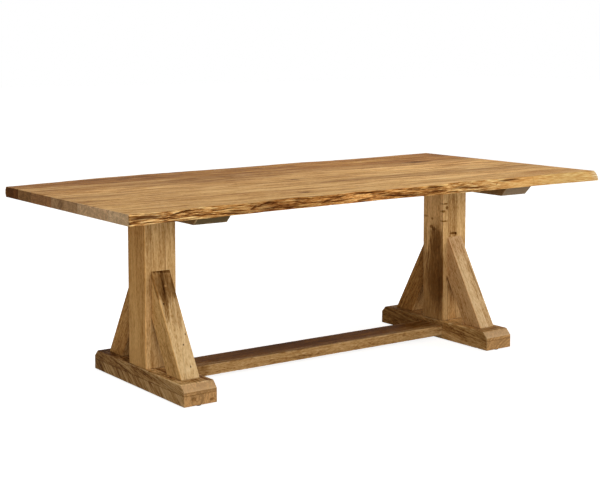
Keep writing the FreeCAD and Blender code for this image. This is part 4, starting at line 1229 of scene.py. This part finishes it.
def make_trestle(side, seed):
    middle = TRESTLE_X[side]
    grain = Grain((middle, 0, 0.38), Z_AXIS, Y_AXIS, (0.03, 0.11), seed)
    layers = [(X_AXIS, middle + off, step) for off, step in POST_LAYERS[side]]
    make_post(side, wood(
        f"{side}_post_maple", POST_TONES, grain, layers=layers, marks=POST_MARKS[side],
        washes=[flank(f"{side}_post", POST_FLANKS[side]), foot_joint_dirt_and_shade()], fine=0.6,
    ))
    grain = Grain((middle, 0, 0.044), (0, 1, 0.16), X_AXIS, *FOOT_GRAINS[side])
    make_foot(side, wood(
        f"{side}_foot_maple", TRESTLE_TONES, grain, layers=FOOT_LAYERS, marks=FOOT_MARKS[side],
        washes=FOOT_WASHES[side], fine=0.75, rings=0.24, end_colour=FOOT_END,
        slant_colour=FOOT_CHAMFER_ENDS[side], **FOOT_FIGURES[side],
    ))
    grain = Grain((middle, 0, 0.7), Y_AXIS, X_AXIS, (0.01, 0.09), seed + 9)
    # The bearers' tones and ends are painted shade
    make_bearer(side, wood(f"{side}_bearer_maple", BEARER_TONES_IN_PAINTED_SHADE, grain, end_colour=BEARER_ENDS_IN_PAINTED_SHADE[side]))


def make_braces():
    for (side, face), (tones, lean, seed, tint, marks) in BRACE_LOOKS.items():
        grain = brace_grain(side, face, (0.02, 0.1), seed, lean)
        washes = [flank(f"{side}_{face}_brace", tint), foot_joint_dirt_and_shade()]
        material = wood(f"{side}_{face}_brace_maple", tones, grain, marks=marks, washes=washes, fine=0.9)
        make_brace(side, face, material)


def make_stretcher():
    low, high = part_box("stretcher")
    start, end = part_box("left_foot")[1].x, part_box("right_foot")[0].x
    grain = Grain((0, 0, 0.043), X_AXIS, Y_AXIS, (0.02, -0.06), 121)
    marks = [
        # Painted shade over the stretcher's top, for the shade of the table above it, lighter over its right
        # part
        ((0, 0.02, high.z), (0.85, 0.085, 0.008), PAINTED_SHADE_UMBER, 1),
        ((0.35, 0, high.z), (0.22, 0.02, 0.008), PALE, 0.6),
        ((-0.15, 0.04, high.z), (0.2, 0.03, 0.008), STREAK_AND_PAINTED_SHADE, 0.5),
        # Painted shadow of the left trestle on the stretcher's front
        ((-0.57, low.y, 0.043), (0.04, 0.01, 0.03), STREAK_AND_PAINTED_SHADE, 0.7),
        ((0.455, low.y, 0.05), (0.01, 0.01, 0.008), STREAK_AND_PAINTED_SHADE, 0.6),
        ((0.662, low.y, 0.045), (0.014, 0.01, 0.006), STREAK_AND_PAINTED_SHADE, 0.8),
        ((-0.1, low.y, 0.036), (0.06, 0.01, 0.006), STREAK_AND_PAINTED_SHADE, 0.7),
        # Painted light near the right end of the stretcher's front, lifting the shade there
        ((0.61, low.y, 0.043), (0.08, 0.01, 0.04), PALE, 0.9),
    ]
    # Dark lines where the stretcher meets the feet: dirt and painted contact shadow
    washes = [((x, 0, 0), (JOINT_WIDTH, WHOLE, WHOLE), STREAK_AND_PAINTED_SHADE, JOINT_SHARE) for x in (start, end)]
    look = dict(marks=marks, washes=washes, fine=0.9, mottle=0.7)
    material = wood("stretcher_maple", STRETCHER_TONES, grain, **look)
    block("stretcher", rectangle(low, high, 1, 2), (1, 2, 0), start, end, 0, material)


def make_fittings():
    """The screws, washers, inserts, dowels and levelers keep their CAD shapes."""
    grain = Grain((0, 0, 0.2), Y_AXIS, X_AXIS, (0.01, 0.02), 5)
    looks = {
        "zinc_steel": zinc("zinc_plated_steel"),
        "dark_nylon": nylon("moulded_nylon"),
        "dowel_wood": wood("dowel_beech", PALE_TONES, grain, pins=0, streaks=0),
    }
    for part in frame["record"]["subparts"]:
        material = looks.get(part["material_slot"])
        if material:
            mesh = frame["nodes"][part["node"]].data
            mesh.materials.clear()
            mesh.materials.append(material)


# Studio

def make_floor():
    bm = bmesh.new()
    bmesh.ops.create_grid(bm, x_segments=8, y_segments=8, size=FLOOR_SIZE / 2)
    floor = new_object("studio_floor", finish_mesh(bm, "studio_floor"))
    g = Graph(bpy.data.materials.new("studio_floor"))
    pale, seen_pale = [
        g.node("ShaderNodeBsdfDiffuse", {"Color": (shade, shade, shade, 1)})[0]
        for shade in (FLOOR_SHADE, FLOOR_SEEN_SHADE)
    ]
    glow = g.node("ShaderNodeEmission", {"Strength": FLOOR_GLOW})[0]
    bright = g.node("ShaderNodeAddShader", (glow, seen_pale))[0]
    mixed = g.node("ShaderNodeMixShader", (g.seen(), pale, bright))[0]
    g.node("ShaderNodeOutputMaterial", {"Surface": mixed})
    floor.data.materials.append(g.owner)


def make_world():
    world = bpy.data.worlds.new("studio")
    bpy.context.scene.world = world
    g = Graph(world)
    strength = g.spread(g.seen(), 0, 1, SKY_LIGHT, 1)
    sky = g.node("ShaderNodeBackground", {"Color": (1, 1, 1, 1), "Strength": strength})[0]
    g.node("ShaderNodeOutputWorld", {"Surface": sky})


def area_light(name, place, size, power):
    data = bpy.data.lights.new(name, "AREA")
    data.shape = "DISK"
    data.size = size
    data.energy = power
    lamp = new_object(name, data)
    lamp.location = place
    lamp.rotation_euler = (AIM - place).to_track_quat("-Z", "Y").to_euler()


def make_camera():
    data = bpy.data.cameras.new("camera")
    data.sensor_width = CAMERA_SENSOR
    data.lens = CAMERA_LENS
    data.shift_y = CAMERA_SHIFT
    data.clip_end = CAMERA_FAR
    camera = new_object("camera", data)
    camera.location = CAMERA_PLACE
    camera.rotation_euler = (math.pi / 2 - CAMERA_PITCH, 0, -CAMERA_YAW)
    bpy.context.scene.camera = camera


for node, look in BOARDS.items():
    make_board(node, **look)
for side, seed in TRESTLE_SEEDS.items():
    make_trestle(side, seed)
make_braces()
make_stretcher()
make_fittings()
make_floor()
make_world()
for lamp, (place, size, power) in LAMPS.items():
    area_light(lamp, place, size, power)
make_camera()
bpy.context.scene.view_settings.view_transform = "Standard"
